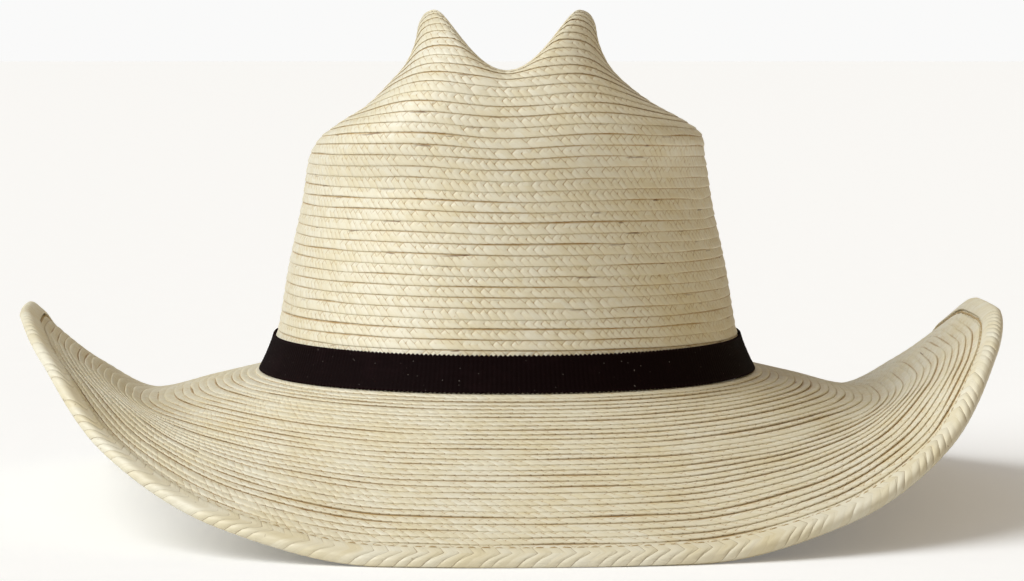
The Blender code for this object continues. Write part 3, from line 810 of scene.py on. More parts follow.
@dataclass(frozen=True)
class Grosgrain(Finish):
    """Ribbed ribbon, nearly black and a little dusty."""

    name: str = "ribbon_grosgrain"
    colour: tuple = (0.0046, 0.0012, 0.0013)
    worn: tuple = (0.013, 0.0045, 0.0055)
    speck: tuple = (0.30, 0.27, 0.24)
    threads: float = 2600.0

    def recipe(self, s: Shader) -> bpy.types.Material:
        """Add the nodes."""
        place = s.place()
        yarn = s.noise(place, (self.threads, self.threads, self.threads / 3.0), 2.0, 0.6)
        dust = s.noise(place, (60.0, 60.0, 90.0), 4.0, 0.65)
        wear = s.math("MAXIMUM", s.span(dust, 0.55, 0.8, 0.0, 0.5), s.attribute("wear"))
        colour = s.mix(wear, self.colour, self.worn)
        colour = s.mix(s.span(yarn, 0.55, 0.85, 0.0, 0.35), colour, self.worn)
        specks = s.span(s.noise(place, 900.0, 1.0), 0.76, 0.80, 0.0, 0.45)
        colour = s.mix(specks, colour, self.speck)
        return s.finish(colour, s.span(yarn, 0.2, 0.8, 0.66, 0.88), yarn, 0.00012, 0.6,
                        Specular_IOR_Level=0.05)


@dataclass(frozen=True)
class Leather(Finish):
    """Thin grained leather."""

    name: str = "sweatband_leather"
    colour: tuple = (0.20, 0.095, 0.042)
    dark: tuple = (0.095, 0.042, 0.018)
    grain: float = 900.0

    def recipe(self, s: Shader) -> bpy.types.Material:
        """Add the nodes."""
        place = s.place()
        cells = s.node("ShaderNodeTexVoronoi", {"feature": "DISTANCE_TO_EDGE"}, Vector=place,
                       Scale=self.grain).outputs["Distance"]
        creases = s.span(cells, 0.0, 0.22)
        clouds = s.noise(place, (38.0, 38.0, 70.0), 4.0, 0.6)
        colour = s.mix(s.span(clouds, 0.35, 0.7), self.dark, self.colour)
        colour = s.mix(s.span(creases, 0.0, 0.6, 0.55, 0.0), colour, self.dark)
        rough = s.span(clouds, 0.3, 0.7, 0.38, 0.56)
        return s.finish(colour, rough, creases, 0.00012, 0.45, Coat_Weight=0.1,
                        Coat_Roughness=0.3)


@dataclass(frozen=True)
class Cloth(Finish):
    """A plain weave in two yarns."""

    colour: tuple
    second: tuple
    threads: float = 1500.0
    roughness: float = 0.85
    sheen: float = 0.2

    def recipe(self, s: Shader) -> bpy.types.Material:
        """Add the nodes."""
        where = s.place()
        warp, weft = (
            s.node("ShaderNodeTexWave", {"bands_direction": way}, Vector=where,
                   Scale=self.threads / TURN, Distortion=0.6, Detail=1.0).outputs["Fac"]
            for way in ("X", "Z"))
        weave = s.math("MULTIPLY", warp, weft)
        fuzz = s.noise(where, 900.0)
        colour = s.mix(s.math("MULTIPLY", weave, s.span(fuzz, 0.2, 0.8, 0.4, 1.0)), self.colour,
                       self.second)
        return s.finish(colour, self.roughness, weave, 0.0001, 0.6, Sheen_Weight=self.sheen,
                        Sheen_Roughness=0.5)


@dataclass(frozen=True)
class FoamFinish(Finish):
    """Fine open-cell foam."""

    name: str = "pad_foam"
    colour: tuple = (0.62, 0.60, 0.54)
    cell: tuple = (0.33, 0.31, 0.27)

    def recipe(self, s: Shader) -> bpy.types.Material:
        """Add the nodes."""
        cells = s.node("ShaderNodeTexVoronoi", None, Vector=s.place(), Scale=1700.0).outputs[
            "Distance"]
        colour = s.mix(s.span(cells, 0.15, 0.5, 1.0, 0.0), self.colour, self.cell)
        return s.finish(colour, 0.95, cells, 0.0002, 0.7, Sheen_Weight=0.2)


@dataclass(frozen=True)
class DrawnWire(Finish):
    """Spring steel wire with faint drawing marks."""

    name: str = "wire_steel"
    colour: tuple = (0.50, 0.50, 0.52)
    stain: tuple = (0.30, 0.23, 0.17)

    def recipe(self, s: Shader) -> bpy.types.Material:
        """Add the nodes."""
        marks = s.noise(s.place(), 700.0, 4.0, 0.7)
        colour = s.mix(s.span(marks, 0.55, 0.75, 0.0, 0.6), self.colour, self.stain)
        return s.finish(colour, s.span(marks, 0.3, 0.7, 0.25, 0.5), marks, 0.00002, 0.3,
                        Metallic=1.0)


@dataclass(frozen=True)
class ReedPlastic(Finish):
    """Milky extruded plastic."""

    name: str = "reed_plastic"
    colour: tuple = (0.74, 0.70, 0.60)
    cloudy: tuple = (0.62, 0.56, 0.44)

    def recipe(self, s: Shader) -> bpy.types.Material:
        """Add the nodes."""
        clouds = s.noise(s.place(), 260.0, 3.0, 0.6)
        colour = s.mix(s.span(clouds, 0.35, 0.7), self.colour, self.cloudy)
        return s.finish(colour, s.span(clouds, 0.3, 0.7, 0.32, 0.48), clouds, 0.00003, 0.3)


# ---- work by hand -------------------------------------------------------------------------------
def let_go() -> None:
    """Leave object mode's selection empty."""
    if bpy.context.object and bpy.context.object.mode != "OBJECT":
        bpy.ops.object.mode_set(mode="OBJECT")
    bpy.ops.object.select_all(action="DESELECT")


def pick(piece: bpy.types.Object, kind: str, wanted: Callable) -> None:
    """Select a piece's faces, edges or vertices in edit mode.

    Args:
        piece: The active piece, in edit mode.
        kind: FACE, EDGE or VERT.
        wanted: Says of a face, an edge or a vertex whether it is wanted.
    """
    bpy.ops.mesh.select_mode(type=kind)
    bpy.ops.mesh.select_all(action="DESELECT")
    bpy.ops.object.mode_set(mode="OBJECT")
    mesh = piece.data
    items = {"FACE": mesh.polygons, "EDGE": mesh.edges, "VERT": mesh.vertices}[kind]
    for item in items:
        item.select = bool(wanted(item))
    bpy.ops.object.mode_set(mode="EDIT")


def take_up(piece: bpy.types.Object) -> None:
    """Select a piece alone and make it the active one."""
    let_go()
    piece.select_set(True)
    bpy.context.view_layer.objects.active = piece


def stretch(name: str, size: tuple) -> bpy.types.Object:
    """Name the primitive that was just added, stretch it and leave it in edit mode."""
    piece = bpy.context.object
    piece.name = piece.data.name = name
    bpy.ops.object.mode_set(mode="EDIT")
    bpy.ops.mesh.select_all(action="SELECT")
    bpy.ops.transform.resize(value=size)
    return piece


def apply_modifiers(piece: bpy.types.Object) -> None:
    """Apply every modifier of a piece, first to last."""
    take_up(piece)
    for modifier in list(piece.modifiers):
        bpy.ops.object.modifier_apply(modifier=modifier.name)


def points_of(piece: bpy.types.Object) -> Array:
    """A piece's vertices."""
    flat = np.zeros(len(piece.data.vertices) * 3, np.float32)
    piece.data.vertices.foreach_get("co", flat)
    return flat.reshape(-1, 3).astype(float)


def set_points(piece: bpy.types.Object, points: Array) -> None:
    """Move a piece's vertices."""
    piece.data.vertices.foreach_set("co", np.ascontiguousarray(points, np.float32).ravel())
    piece.data.update()


def flat_strip(name: str, length: float, width: float, columns: int, rows: int,
               relief: Callable | None = None, thickness: float = 0.0,
               rounding: float = 0.0) -> bpy.types.Object:
    """A strip that lies flat, with its length along X and its width along Y.

    Args:
        name: The piece's name.
        length: Its length.
        width: Its width.
        columns: Divisions along it.
        rows: Divisions across it.
        relief: Moves its points before it gets its thickness.
        thickness: How thick it gets, below z = 0.
        rounding: Width of its rounded edges.

    Returns:
        The piece.
    """
    let_go()
    bpy.ops.mesh.primitive_grid_add(x_subdivisions=columns, y_subdivisions=rows, size=1.0)
    piece = stretch(name, (length, width, 1.0))
    bpy.ops.object.mode_set(mode="OBJECT")
    if relief is not None:
        set_points(piece, relief(points_of(piece)))
    wall = piece.modifiers.new("thickness", "SOLIDIFY")
    wall.thickness, wall.offset = thickness, -1.0
    if rounding:
        edge = piece.modifiers.new("rounding", "BEVEL")
        edge.width, edge.segments = rounding, 2
        edge.limit_method, edge.angle_limit = "ANGLE", math.radians(60.0)
    apply_modifiers(piece)
    piece.data.shade_smooth()
    return piece


@dataclass(frozen=True)
class Pattern:
    """One small shape that is copied many times: its points and its faces."""

    points: Array
    corners: Array
    sizes: Array

    @classmethod
    def taken_from(cls, piece: bpy.types.Object) -> "Pattern":
        """Read a shape from a piece, which is then removed."""
        mesh = piece.data
        corners = np.zeros(len(mesh.loops), np.int32)
        mesh.loops.foreach_get("vertex_index", corners)
        sizes = np.zeros(len(mesh.polygons), np.int32)
        mesh.polygons.foreach_get("loop_total", sizes)
        made = cls(points_of(piece), corners, sizes)
        bpy.data.objects.remove(piece, do_unlink=True)
        bpy.data.meshes.remove(mesh)
        return made

    def copied(self, name: str, shifts: Array, turns: Array,
               place: Callable) -> bpy.types.Object:
        """Copy the shape to flat places, and lay all the copies on the hat.

        Args:
            name: The new piece's name.
            shifts: Flat places, one row of x, y, z for each copy.
            turns: How far each copy is turned about Z, in radians.
            place: Turns flat points into points on the hat.

        Returns:
            One piece that holds every copy.
        """
        cos, sin = np.cos(turns)[:, None], np.sin(turns)[:, None]
        x, y, z = self.points.T
        turned = np.stack([cos * x - sin * y, sin * x + cos * y, z + 0.0 * cos], axis=-1)
        points = (turned + shifts[:, None, :]).reshape(-1, 3)
        number = np.arange(len(shifts))[:, None] * len(self.points)
        corners = (self.corners[None, :] + number).ravel()
        return add_object(name, new_mesh(name, place(points), corners,
                                         np.tile(self.sizes, len(shifts))))


def stitch(length: float, radius: float) -> Pattern:
    """One sewn stitch: a round thread that dips into the work at both ends.

    Args:
        length: From hole to hole.
        radius: The thread's radius.

    Returns:
        The stitch, lying along X on z = 0.
    """
    let_go()
    bpy.ops.mesh.primitive_cylinder_add(vertices=8, radius=radius, depth=length,
                                        rotation=(0.0, math.pi / 2.0, 0.0))
    piece = bpy.context.object
    bpy.ops.object.transform_apply(location=False, rotation=True, scale=False)
    bpy.ops.object.mode_set(mode="EDIT")
    points = piece.data.vertices
    pick(piece, "EDGE", lambda edge: abs(
        points[edge.vertices[0]].co.x - points[edge.vertices[1]].co.x) > length / 2.0)
    bpy.ops.mesh.subdivide(number_cuts=5)
    for end in (-1.0, 1.0):
        pick(piece, "FACE", lambda face: face.normal.x * end > 0.9)
        bpy.ops.mesh.extrude_region_move(
            TRANSFORM_OT_translate={"value": (end * radius * 0.6, 0.0, 0.0)})
        bpy.ops.transform.resize(value=(1.0, 0.5, 0.5))
    bpy.ops.object.mode_set(mode="OBJECT")
    bent = points_of(piece)
    dip = np.clip(np.abs(bent[:, 0]) / (length / 2.0), 0.0, 1.0) ** 3
    bent[:, 2] += radius * 0.55 - dip * radius * 1.7
    bent[:, 1:] *= 1.0 - 0.2 * dip[:, None]
    set_points(piece, bent)
    return Pattern.taken_from(piece)


def hand_over(piece: bpy.types.Object, material: bpy.types.Material, body: Body, slot: str,
              *nodes: str) -> bpy.types.Object:
    """Dress a finished piece and hang it on the frame.

    Args:
        piece: The piece, in its place.
        material: Its finish.
        body: The body that it moves with.
        slot: Not used.
        nodes: CAD nodes that it stands for.

    Returns:
        The piece.
    """
    piece.data.materials.clear()
    piece.data.materials.append(material)
    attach(piece, body.value)
    if nodes:
        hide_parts(*nodes)
    LOG.info("%s: %d faces", piece.name, len(piece.data.polygons))
    return piece


def dress_node(node: str, material: bpy.types.Material) -> None:
    """Give a CAD node that stays its finish."""
    for material_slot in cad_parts[node].material_slots:
        material_slot.material = material
    LOG.info("%s: kept from the frame", node)


@dataclass(frozen=True)
class Wrap:
    """Bends flat work round the crown, inside or outside it."""

    form: HatForm
    side: Side
    start: float            # angles between which the flat work lies, in radians
    end: float
    height: float           # height at which its length is true
    off: float              # distance from the crown's outer face to z = 0 of the flat work

    def table(self) -> tuple:
        """Angles and the distance round to each of them."""
        angle = np.linspace(self.start, self.end, 721)
        level, off = np.full_like(angle, self.height), np.full_like(angle, self.off)
        return angle, arc_lengths(self.form.beside_crown(self.side, angle, level, off))

    @property
    def length(self) -> float:
        """Length of flat work that reaches from start to end."""
        return float(self.table()[1][-1])

    def place(self, flat: Array) -> Array:
        """Points on the hat for flat points, whose z rises away from the crown."""
        angle, arc = self.table()
        turned = np.interp(flat[:, 0] + arc[-1] / 2.0, arc, angle)
        placed = self.form.beside_crown(self.side, turned, flat[:, 1], self.off + flat[:, 2])
        return placed + self.form.raised

    def bend(self, piece: bpy.types.Object) -> bpy.types.Object:
        """Bend a flat piece into its place, with its faces outwards."""
        set_points(piece, self.place(points_of(piece)))
        if self.side is Side.INSIDE:
            piece.data.flip_normals()
        return piece


# ---- the straw ----------------------------------------------------------------------------------
@dataclass(frozen=True)
class SewnPlait:
    """The plait of the crown and the brim and how its rows lap over one another."""

    slant: float = 1.75 * MM        # how far a strand runs forward over half a row
    lap: float = 0.30               # share of a row that the row above covers
    tilt: float = 0.50 * MM         # how much deeper the covered edge lies than the free one
    thickness: float = 0.80 * MM
    edge: float = 0.34 * MM
    dome: float = 0.05 * MM         # how far the row's middle stands proud
    crown: float = 0.045 * MM       # how far a strand's middle stands proud
    groove: float = 0.10 * MM
    hole: float = 0.08 * MM
    cell: float = 2.9 * MM
    scallop: float = 0.03
    waver: float = 0.08

    def face(self, across: float) -> float:
        """Depth of the plait's outer face at a place across it."""
        shown = min(max(across, 0.0), 1.0)
        return (self.tilt * (1.0 - (across + self.lap) / (1.0 + self.lap))
                - self.dome * math.sin(math.pi * shown))

    def plait(self) -> Plait:
        """The plait's section with its strands."""
        outer = (
            # across, slant, proud, groove, hole, strand
            (-self.lap, 1.25, -0.5, 0.0, 0.0, 0), (0.03, 0.94, 0.0, 1.0, 0.0, 0),
            (0.26, 0.48, 1.0, 1.0, 0.0, 0), (0.47, 0.06, 0.0, 1.0, 1.0, 1),
            (0.53, 0.10, 0.0, 1.0, 1.0, 1), (0.75, 0.52, 1.0, 1.0, 0.0, 1),
            (0.92, 0.86, 0.5, 1.0, 0.0, 1), (0.985, 0.99, -0.6, 1.0, 0.0, 1),
        )
        rows = [PlaitRow(across, slant * self.slant,
                         self.face(across) - proud * self.crown, groove * self.groove,
                         hole * self.hole, strand, max(across, 0.0))
                for across, slant, proud, groove, hole, strand in outer]
        # across, slant, depth as a share, groove, strand, mark
        share = self.edge / self.thickness
        # Marks near 0 paint a little of the shade under the row's edge onto the lip's lower face.
        inner = (
            (1.01, 1.02, share * 0.55, 0.6, 1, 0.40), (0.99, 1.0, share, 0.5, 2, 0.00),
            (0.62, 0.8, 0.96, 0.7, 2, 0.35), (0.22, 0.0, 1.0, 0.7, 3, 0.5),
            (-0.18, 0.8, 1.0, 0.7, 3, 0.8), (-self.lap, 1.05, 0.98, 0.4, 3, 1.0),
        )
        rows += [PlaitRow(across, slant * self.slant,
                          self.face(across) + share * self.thickness, -groove * self.groove,
                          0.0, strand, mark)
                 for across, slant, share, groove, strand, mark in inner]
        return Plait(tuple(rows), self.cell, scallop=self.scallop, waver=self.waver)


@dataclass(frozen=True)
class StrawShell:
    """Crown and brim, sewn round and round and spliced where a length of plait runs out."""

    form: HatForm
    straw: bpy.types.Material
    crown_rows: int = 52
    crown_pitch: float = 3.6 * MM
    splice_row: float = 33.4        # where the tip's plait meets the wall's
    first_row: float = -0.85        # where the coil starts, closing the very middle
    foot_rise: float = 0.5 * MM     # how far the brim's first row is drawn up to the crown
    brim_rows: int = 31
    brim_splice: float = 15.5
    brim_turned: float = -0.162     # share of a turn by which the brim's coil is turned
    crown_plait: SewnPlait = SewnPlait()
    brim_plait: SewnPlait = SewnPlait(slant=2.6 * MM, tilt=0.60 * MM, thickness=0.95 * MM,
                                      edge=0.46 * MM, dome=0.17 * MM, crown=0.05 * MM,
                                      groove=0.07 * MM, hole=0.04 * MM, cell=3.4 * MM,
                                      scallop=0.050, waver=0.14)
    end_gap: float = 0.15           # rows by which the wall's coil stops short of the headline
    seed: int = 7

    def lay(self, name: str, node: str, rows: RowMap, first: float, last: float,
            plait: SewnPlait, turned: float, seed: int) -> list[bpy.types.Object]:
        """Sew one stretch of the coil, in as many lengths as it needs.

        Args:
            name: The pieces' name, to which a number is added.
            node: The CAD node that they stand for.
            rows: Where the rows run.
            first: The coil's turn at the start.
            last: The coil's turn at the end.
            plait: The plait that is sewn.
            turned: Share of a turn by which the coil is turned.
            seed: Seed of its unevenness.

        Returns:
            The pieces.
        """
        section = plait.plait()
        turns, sewn = rows.turns_at(first, last)
        faces = sewn[-1] / plait.cell * len(section.columns) * len(section.rows) * 2
        lengths = math.ceil(faces / MOST_TRIANGLES)
        raised = self.form.raised
        # The coil narrows where it would run past the map's first or last row.
        first_full = -1.0 if first < 0.0 else first - rows.rows
        pieces = []
        for number in range(lengths):
            start = sewn[-1] * number / lengths

            def place(ahead: Array, across: Array, depth: Array) -> Array:
                """Points on the coil."""
                turn = np.interp(ahead + start, sewn, turns)
                width = np.clip(np.minimum(turn - first_full, rows.rows - turn), NARROWEST, 1.0)
                row = np.where(turn < 0.0, turn + 1.0 - (1.0 - across) * width,
                               turn + across * width)
                point, normal = rows.at(row, (turn + turned) * TURN)
                if node == "brim_inner_braid":
                    depth = depth - self.foot_rise * np.clip(1.0 - row, 0.0, 1.0)
                return point - normal * depth[..., None] + raised

            rng = np.random.default_rng(seed + number)
            mesh = section.sweep(f"{name}_{number + 1}", sewn[-1] / lengths, place, rng)
            pieces.append(hand_over(add_object(mesh.name, mesh), self.straw, Body.HAT,
                                    "palm_straw", node))
        return pieces

    def build(self) -> list[bpy.types.Object]:
        """Sew the crown from its tip and then the brim to its edge."""
        crown = RowMap.on_crown(self.form, self.crown_rows, self.crown_pitch)
        brim = RowMap.on_brim(self.form, self.brim_rows)
        pieces = self.lay("crown_tip_coil", "crown_tip_braid", crown, self.first_row,
                          self.splice_row, self.crown_plait, 0.0, self.seed)
        pieces += self.lay("crown_wall_coil", "crown_wall_braid", crown, self.splice_row,
                           self.crown_rows - self.end_gap, self.crown_plait, 0.0,
                           self.seed + 10)
        pieces += self.lay("brim_inner_coil", "brim_inner_braid", brim, self.first_row,
                           self.brim_splice, self.brim_plait, self.brim_turned, self.seed + 20)
        pieces += self.lay("brim_outer_coil", "brim_outer_braid", brim, self.brim_splice,
                           self.brim_rows - 1.0, self.brim_plait, self.brim_turned, self.seed + 30)
        return pieces


@dataclass(frozen=True)
class FoldedRim:
    """The wide plait that is folded round the brim's edge and its wire, and sewn down."""

    form: HatForm
    straw: bpy.types.Material
    thread: bpy.types.Material
    steel: bpy.types.Material
    cell: float = 4.3 * MM
    groove: float = 0.13 * MM
    stitch_length: float = 3.0 * MM
    stitch_every: float = 4.4 * MM
    thread_radius: float = 0.3 * MM
    stray: tuple = (0.15 * MM, 0.05 * MM, 0.04)     # along, across and in turn, for each stitch
    proud_unit: float = 0.25 * MM
    clearance: float = 0.05 * MM
    seed: int = 61
    # Place across the fold and slant in millimetres, proud, groove and hole in shares, strand.
    face: tuple = (
        (0.00, 0.0, -1.2, 0.0, 0.0, 0), (0.25, 0.2, -0.2, 0.3, 0.0, 0),
        (1.30, 1.1, 0.0, 0.30, 0.0, 0), (2.10, 1.8, 0.0, 0.35, 0.2, 1),
        (2.60, 1.2, 0.05, 0.9, 0.0, 1), (3.60, -0.3, 0.2, 1.5, 0.0, 1),
        (4.80, -2.1, 0.3, 1.7, 0.0, 1), (6.00, -3.6, 0.3, 1.5, 0.0, 1),
        (7.50, -5.0, 0.3, 1.0, 0.0, 1), (9.00, -6.2, 0.2, 0.8, 0.0, 1),
        (10.4, -7.3, -0.1, 0.7, 0.5, 2), (11.2, -6.8, 0.0, 0.6, 0.0, 2),
        (13.0, -5.2, 0.0, 0.5, 0.0, 2), (14.75, -3.8, -0.2, 0.3, 0.0, 2),
        (15.0, -3.6, -1.2, 0.0, 0.0, 2),
    )
    lining: tuple = (14.9, 12.9, 10.8, 9.15, 7.5, 5.85, 4.2, 2.1, 0.1)

    def plait(self) -> Plait:
        """The fold's section, from its upper lip round the edge to its lower lip and back."""
        rows = [PlaitRow(across * MM, slant * MM, -proud * self.proud_unit, groove * self.groove,
                         hole * self.groove, strand, 0.3 + across / 26.0)
                for across, slant, proud, groove, hole, strand in self.face]
        last = self.face[-1][1] * MM
        rows += [PlaitRow(across * MM, last * across / self.face[-1][0],
                          self.form.rim_wall - self.clearance, 0.0, 0.0, 2, 0.5)
                 for across in self.lining]
        return Plait(tuple(rows), self.cell, columns=(0.0, 0.055, 0.5, 0.945),
                     lifts=(0.0, 0.0, 0.05 * MM, 0.0), unevenness=0.07)

    def on_fold(self, angle: Array, across: Array, depth: Array) -> Array:
        """Points on the fold.

        Args:
            angle: Angles round the brim, in radians.
            across: Distances from the fold's upper lip, measured round it.
            depth: Depths below its outer face.

        Returns:
            The points.
        """
        form = self.form
        flat = form.rim_bend - form.rim_lap
        radius = form.fold_radius
        turn = math.pi / 2.0 - np.clip((across - flat) / radius, 0.0, math.pi)
        before = np.minimum(across - flat, 0.0)
        after = np.maximum(across - flat - math.pi * radius, 0.0)
        forward = form.rim_bend + before - after + (radius - depth) * np.cos(turn)
        out = -form.braid_thickness / 2.0 + (radius - depth) * np.sin(turn)
        return form.rim_point(angle, forward, out)

    def ring(self) -> tuple:
        """Angles round the brim and the distance along the rim to each of them."""
        angle = np.linspace(FRONT, FRONT + TURN, 1441)
        edge = self.form.rim_point(angle, np.zeros_like(angle), np.zeros_like(angle))
        return angle, arc_lengths(edge)

    def build(self) -> list[bpy.types.Object]:
        """Fold the plait over the edge, sew it down and finish the wire inside it."""
        angle, arc = self.ring()
        raised = self.form.raised

        def angle_at(along: Array) -> Array:
            """The angle at a distance along the rim."""
            laps = np.floor(along / arc[-1])
            return np.interp(along - laps * arc[-1], arc, angle)

        def place(ahead: Array, across: Array, depth: Array) -> Array:
            """Points on the fold, pressed flat on the floor."""
            across = np.broadcast_to(across, ahead.shape)
            points = self.on_fold(angle_at(ahead), across, depth) + raised
            points[..., 2] = np.maximum(points[..., 2], 0.0)
            return points

        def place_stitch(flat: Array) -> Array:
            """Points on the brim beside the fold's upper lip."""
            beside = self.form.rim_lap - self.form.gap - self.thread_radius
            return raised + self.form.rim_point(angle_at(flat[:, 0]), beside + flat[:, 1],
                                                flat[:, 2] + self.clearance)

        rng = np.random.default_rng(self.seed)
        mesh = self.plait().sweep("rim_fold", float(arc[-1]), place, rng, closed=True)
        fold = hand_over(add_object(mesh.name, mesh), self.straw, Body.HAT, "rim_straw",
                         "rim_fold_braid")
        count = int(arc[-1] / self.stitch_every)
        shifts = np.zeros((count, 3))
        shifts[:, 0] = (np.arange(count) + 0.5) * arc[-1] / count
        ahead, aside, turns = (rng.normal(0.0, spread, count) for spread in self.stray)
        shifts[:, 0] += ahead
        shifts[:, 1] = aside
        one = stitch(self.stitch_length, self.thread_radius)
        sewn = one.copied("rim_stitches", shifts, turns, place_stitch)
        hand_over(sewn, self.thread, Body.HAT, "brown_thread", "rim_stitching")
        for node in ("rim_wire", "rim_wire_sleeve"):
            dress_node(node, self.steel)
        return [fold, sewn]


# ---- inside the crown ---------------------------------------------------------------------------
@dataclass(frozen=True)
class Sweatband:
    """The leather band inside the crown, with its pad, reed, seam and stitching."""

    form: HatForm
    leather: bpy.types.Material
    foam: bpy.types.Material
    plastic: bpy.types.Material
    thread: bpy.types.Material
    tape: bpy.types.Material
    height: float = 38.0 * MM
    thickness: float = 1.0 * MM
    depth: float = 3.9 * MM         # the band's outer face below the crown's outer face
    seam_half: float = math.radians(0.5)
    pad_low: float = 10.0 * MM
    pad_high: float = 30.0 * MM
    pad_thickness: float = 1.5 * MM
    pad_depth: float = 2.1 * MM
    pad_half: float = math.radians(42.0)
    pad_rim: tuple = (5.0 * MM, 4.0 * MM)   # how far in from its ends and sides it is pressed
    pad_flat: float = 0.45                  # share of its thickness left at its very edge
    quilt_every: float = 9.0 * MM
    quilt_depth: float = 0.10
    reed_radius: float = 1.1 * MM
    reed_gap: float = math.radians(0.7)
    thread_radius: float = 0.25 * MM
    stitch_length: float = 2.6 * MM
    stitch_every: float = 3.4 * MM
    stitch_level: float = 3.0 * MM          # above the band's lower edge
    stitch_press: float = 0.22 * MM
    wave_turn: float = 0.10 * MM            # how far the free edge leans in and out
    wave_rise: float = 0.18 * MM
    wave_knots: int = 400
    seed: int = 83

    def wrap(self, off: float = 0.0) -> Wrap:
        """The band's own wrap, or one that lies further in."""
        return Wrap(self.form, Side.INSIDE, BACK + self.seam_half, BACK + TURN - self.seam_half,
                    self.height / 2.0, self.depth + off)

    def build_band(self) -> bpy.types.Object:
        """Cut the band, soften its upper edge and set it in the crown."""
        wrap = self.wrap()
        rng = np.random.default_rng(self.seed)
        waves = wander(self.wave_knots, 18.0, rng)

        def relief(points: Array) -> Array:
            """Let the free edge waver and lean in and out, and press a line along the stitches."""
            high = points[:, 1] / self.height + 0.5
            along = (points[:, 0] / wrap.length + 0.5) * (self.wave_knots - 2)
            wave = np.interp(along, np.arange(self.wave_knots), waves)
            off_line = (high * self.height - self.stitch_level) / MM
            points[:, 2] += self.wave_turn * wave * high ** 2
            points[:, 2] -= self.stitch_press * np.exp(-off_line ** 2)
            points[:, 1] += self.height / 2.0 + self.wave_rise * wave * high
            return points

        band = flat_strip("sweatband_leather_band", wrap.length, self.height, 300, 28, relief,
                          self.thickness, 0.3 * MM)
        # The strip's z = 0 is its inner face, so it is set one thickness further in.
        set_points(band, points_of(band) + np.array([0.0, 0.0, self.thickness]))
        wrap.bend(band)
        hand_over(band, self.leather, Body.HAT, "sweatband_leather", "sweatband")
        return (band, wrap.length)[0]

    def build_stitches(self) -> bpy.types.Object:
        """The row of stitches that holds the band to the reed's tape."""
        wrap = self.wrap(self.thickness)
        rng = np.random.default_rng(self.seed + 1)
        count = int(wrap.length / self.stitch_every)
        x = (np.arange(count) + 0.5) / count * wrap.length - wrap.length / 2.0
        y = self.stitch_level + rng.normal(0.0, 0.06 * MM, count)
        shifts = np.stack([x, y, np.full(count, 0.02 * MM)], axis=-1)
        return stitch(self.stitch_length, self.thread_radius).copied(
            "sweatband_stitches", shifts, rng.normal(0.0, 0.05, count), wrap.place)

    def build_pad(self) -> bpy.types.Object:
        """A thin foam pad at the forehead, rounded where it is pressed between its seams."""
        level = (self.pad_low + self.pad_high) / 2.0
        wrap = Wrap(self.form, Side.INSIDE, FRONT - self.pad_half, FRONT + self.pad_half,
                    level, self.pad_depth)
        width = self.pad_high - self.pad_low
        pad = flat_strip("forehead_foam_pad", wrap.length, width, 90, 14, None,
                         self.pad_thickness, 0.35 * MM)
        points = points_of(pad)
        in_from_edge = np.array([wrap.length, width]) / 2.0 - np.abs(points[:, :2])
        share = np.clip(in_from_edge / np.array(self.pad_rim), 0.0, 1.0)
        full = np.prod(np.sin(share * math.pi / 2.0), axis=-1)
        full = self.pad_flat + (1.0 - self.pad_flat) * np.sqrt(full)
        quilt = 1.0 - self.quilt_depth * np.abs(
            np.cos(points[:, 0] / self.quilt_every * math.pi))
        middle = -self.pad_thickness / 2.0
        points[:, 2] = middle + (points[:, 2] - middle) * full * quilt
        points[:, 2] += self.pad_thickness
        points[:, 1] += level
        set_points(pad, points)
        wrap.bend(pad)
        hand_over(pad, self.foam, Body.HAT, "pad_foam", "forehead_pad")
        return pad

    def build_reed(self) -> bpy.types.Object:
        """The reed that keeps the band's lower edge round, open just past the back."""
        level = -self.form.gap - self.reed_radius
        angle = np.linspace(BACK + self.reed_gap, BACK + TURN - self.reed_gap, 289)
        middle = self.form.raised + self.form.beside_crown(
            Side.INSIDE, angle, np.full_like(angle, level),
            np.full_like(angle, self.depth + self.thickness / 2.0))
        curve = bpy.data.curves.new("sweatband_reed_line", "CURVE")
        curve.dimensions, curve.bevel_depth = "3D", self.reed_radius
        curve.bevel_resolution, curve.use_fill_caps = 3, True
        line = curve.splines.new("POLY")
        line.points.add(len(middle) - 1)
        for target, point in zip(line.points, middle):
            target.co = (*point, 1.0)
        reed = add_object("sweatband_reed_line", curve)
        take_up(reed)
        bpy.ops.object.convert(target="MESH")
        reed = bpy.context.object
        reed.data.shade_smooth()
        return hand_over(reed, self.plastic, Body.HAT, "reed_plastic", "sweatband_reed")

    def build(self) -> list[bpy.types.Object]:
        """Build the band and all that is sewn to it but the label and the bow."""
        band, pad, reed = self.build_band(), self.build_pad(), self.build_reed()
        stitches = hand_over(self.build_stitches(), self.thread, Body.HAT, "brown_thread",
                             "sweatband_stitching")
        dress_node("reed_sleeve", self.plastic)
        dress_node("sweatband_seam_patch", self.tape)
        return [band, pad, reed, stitches]


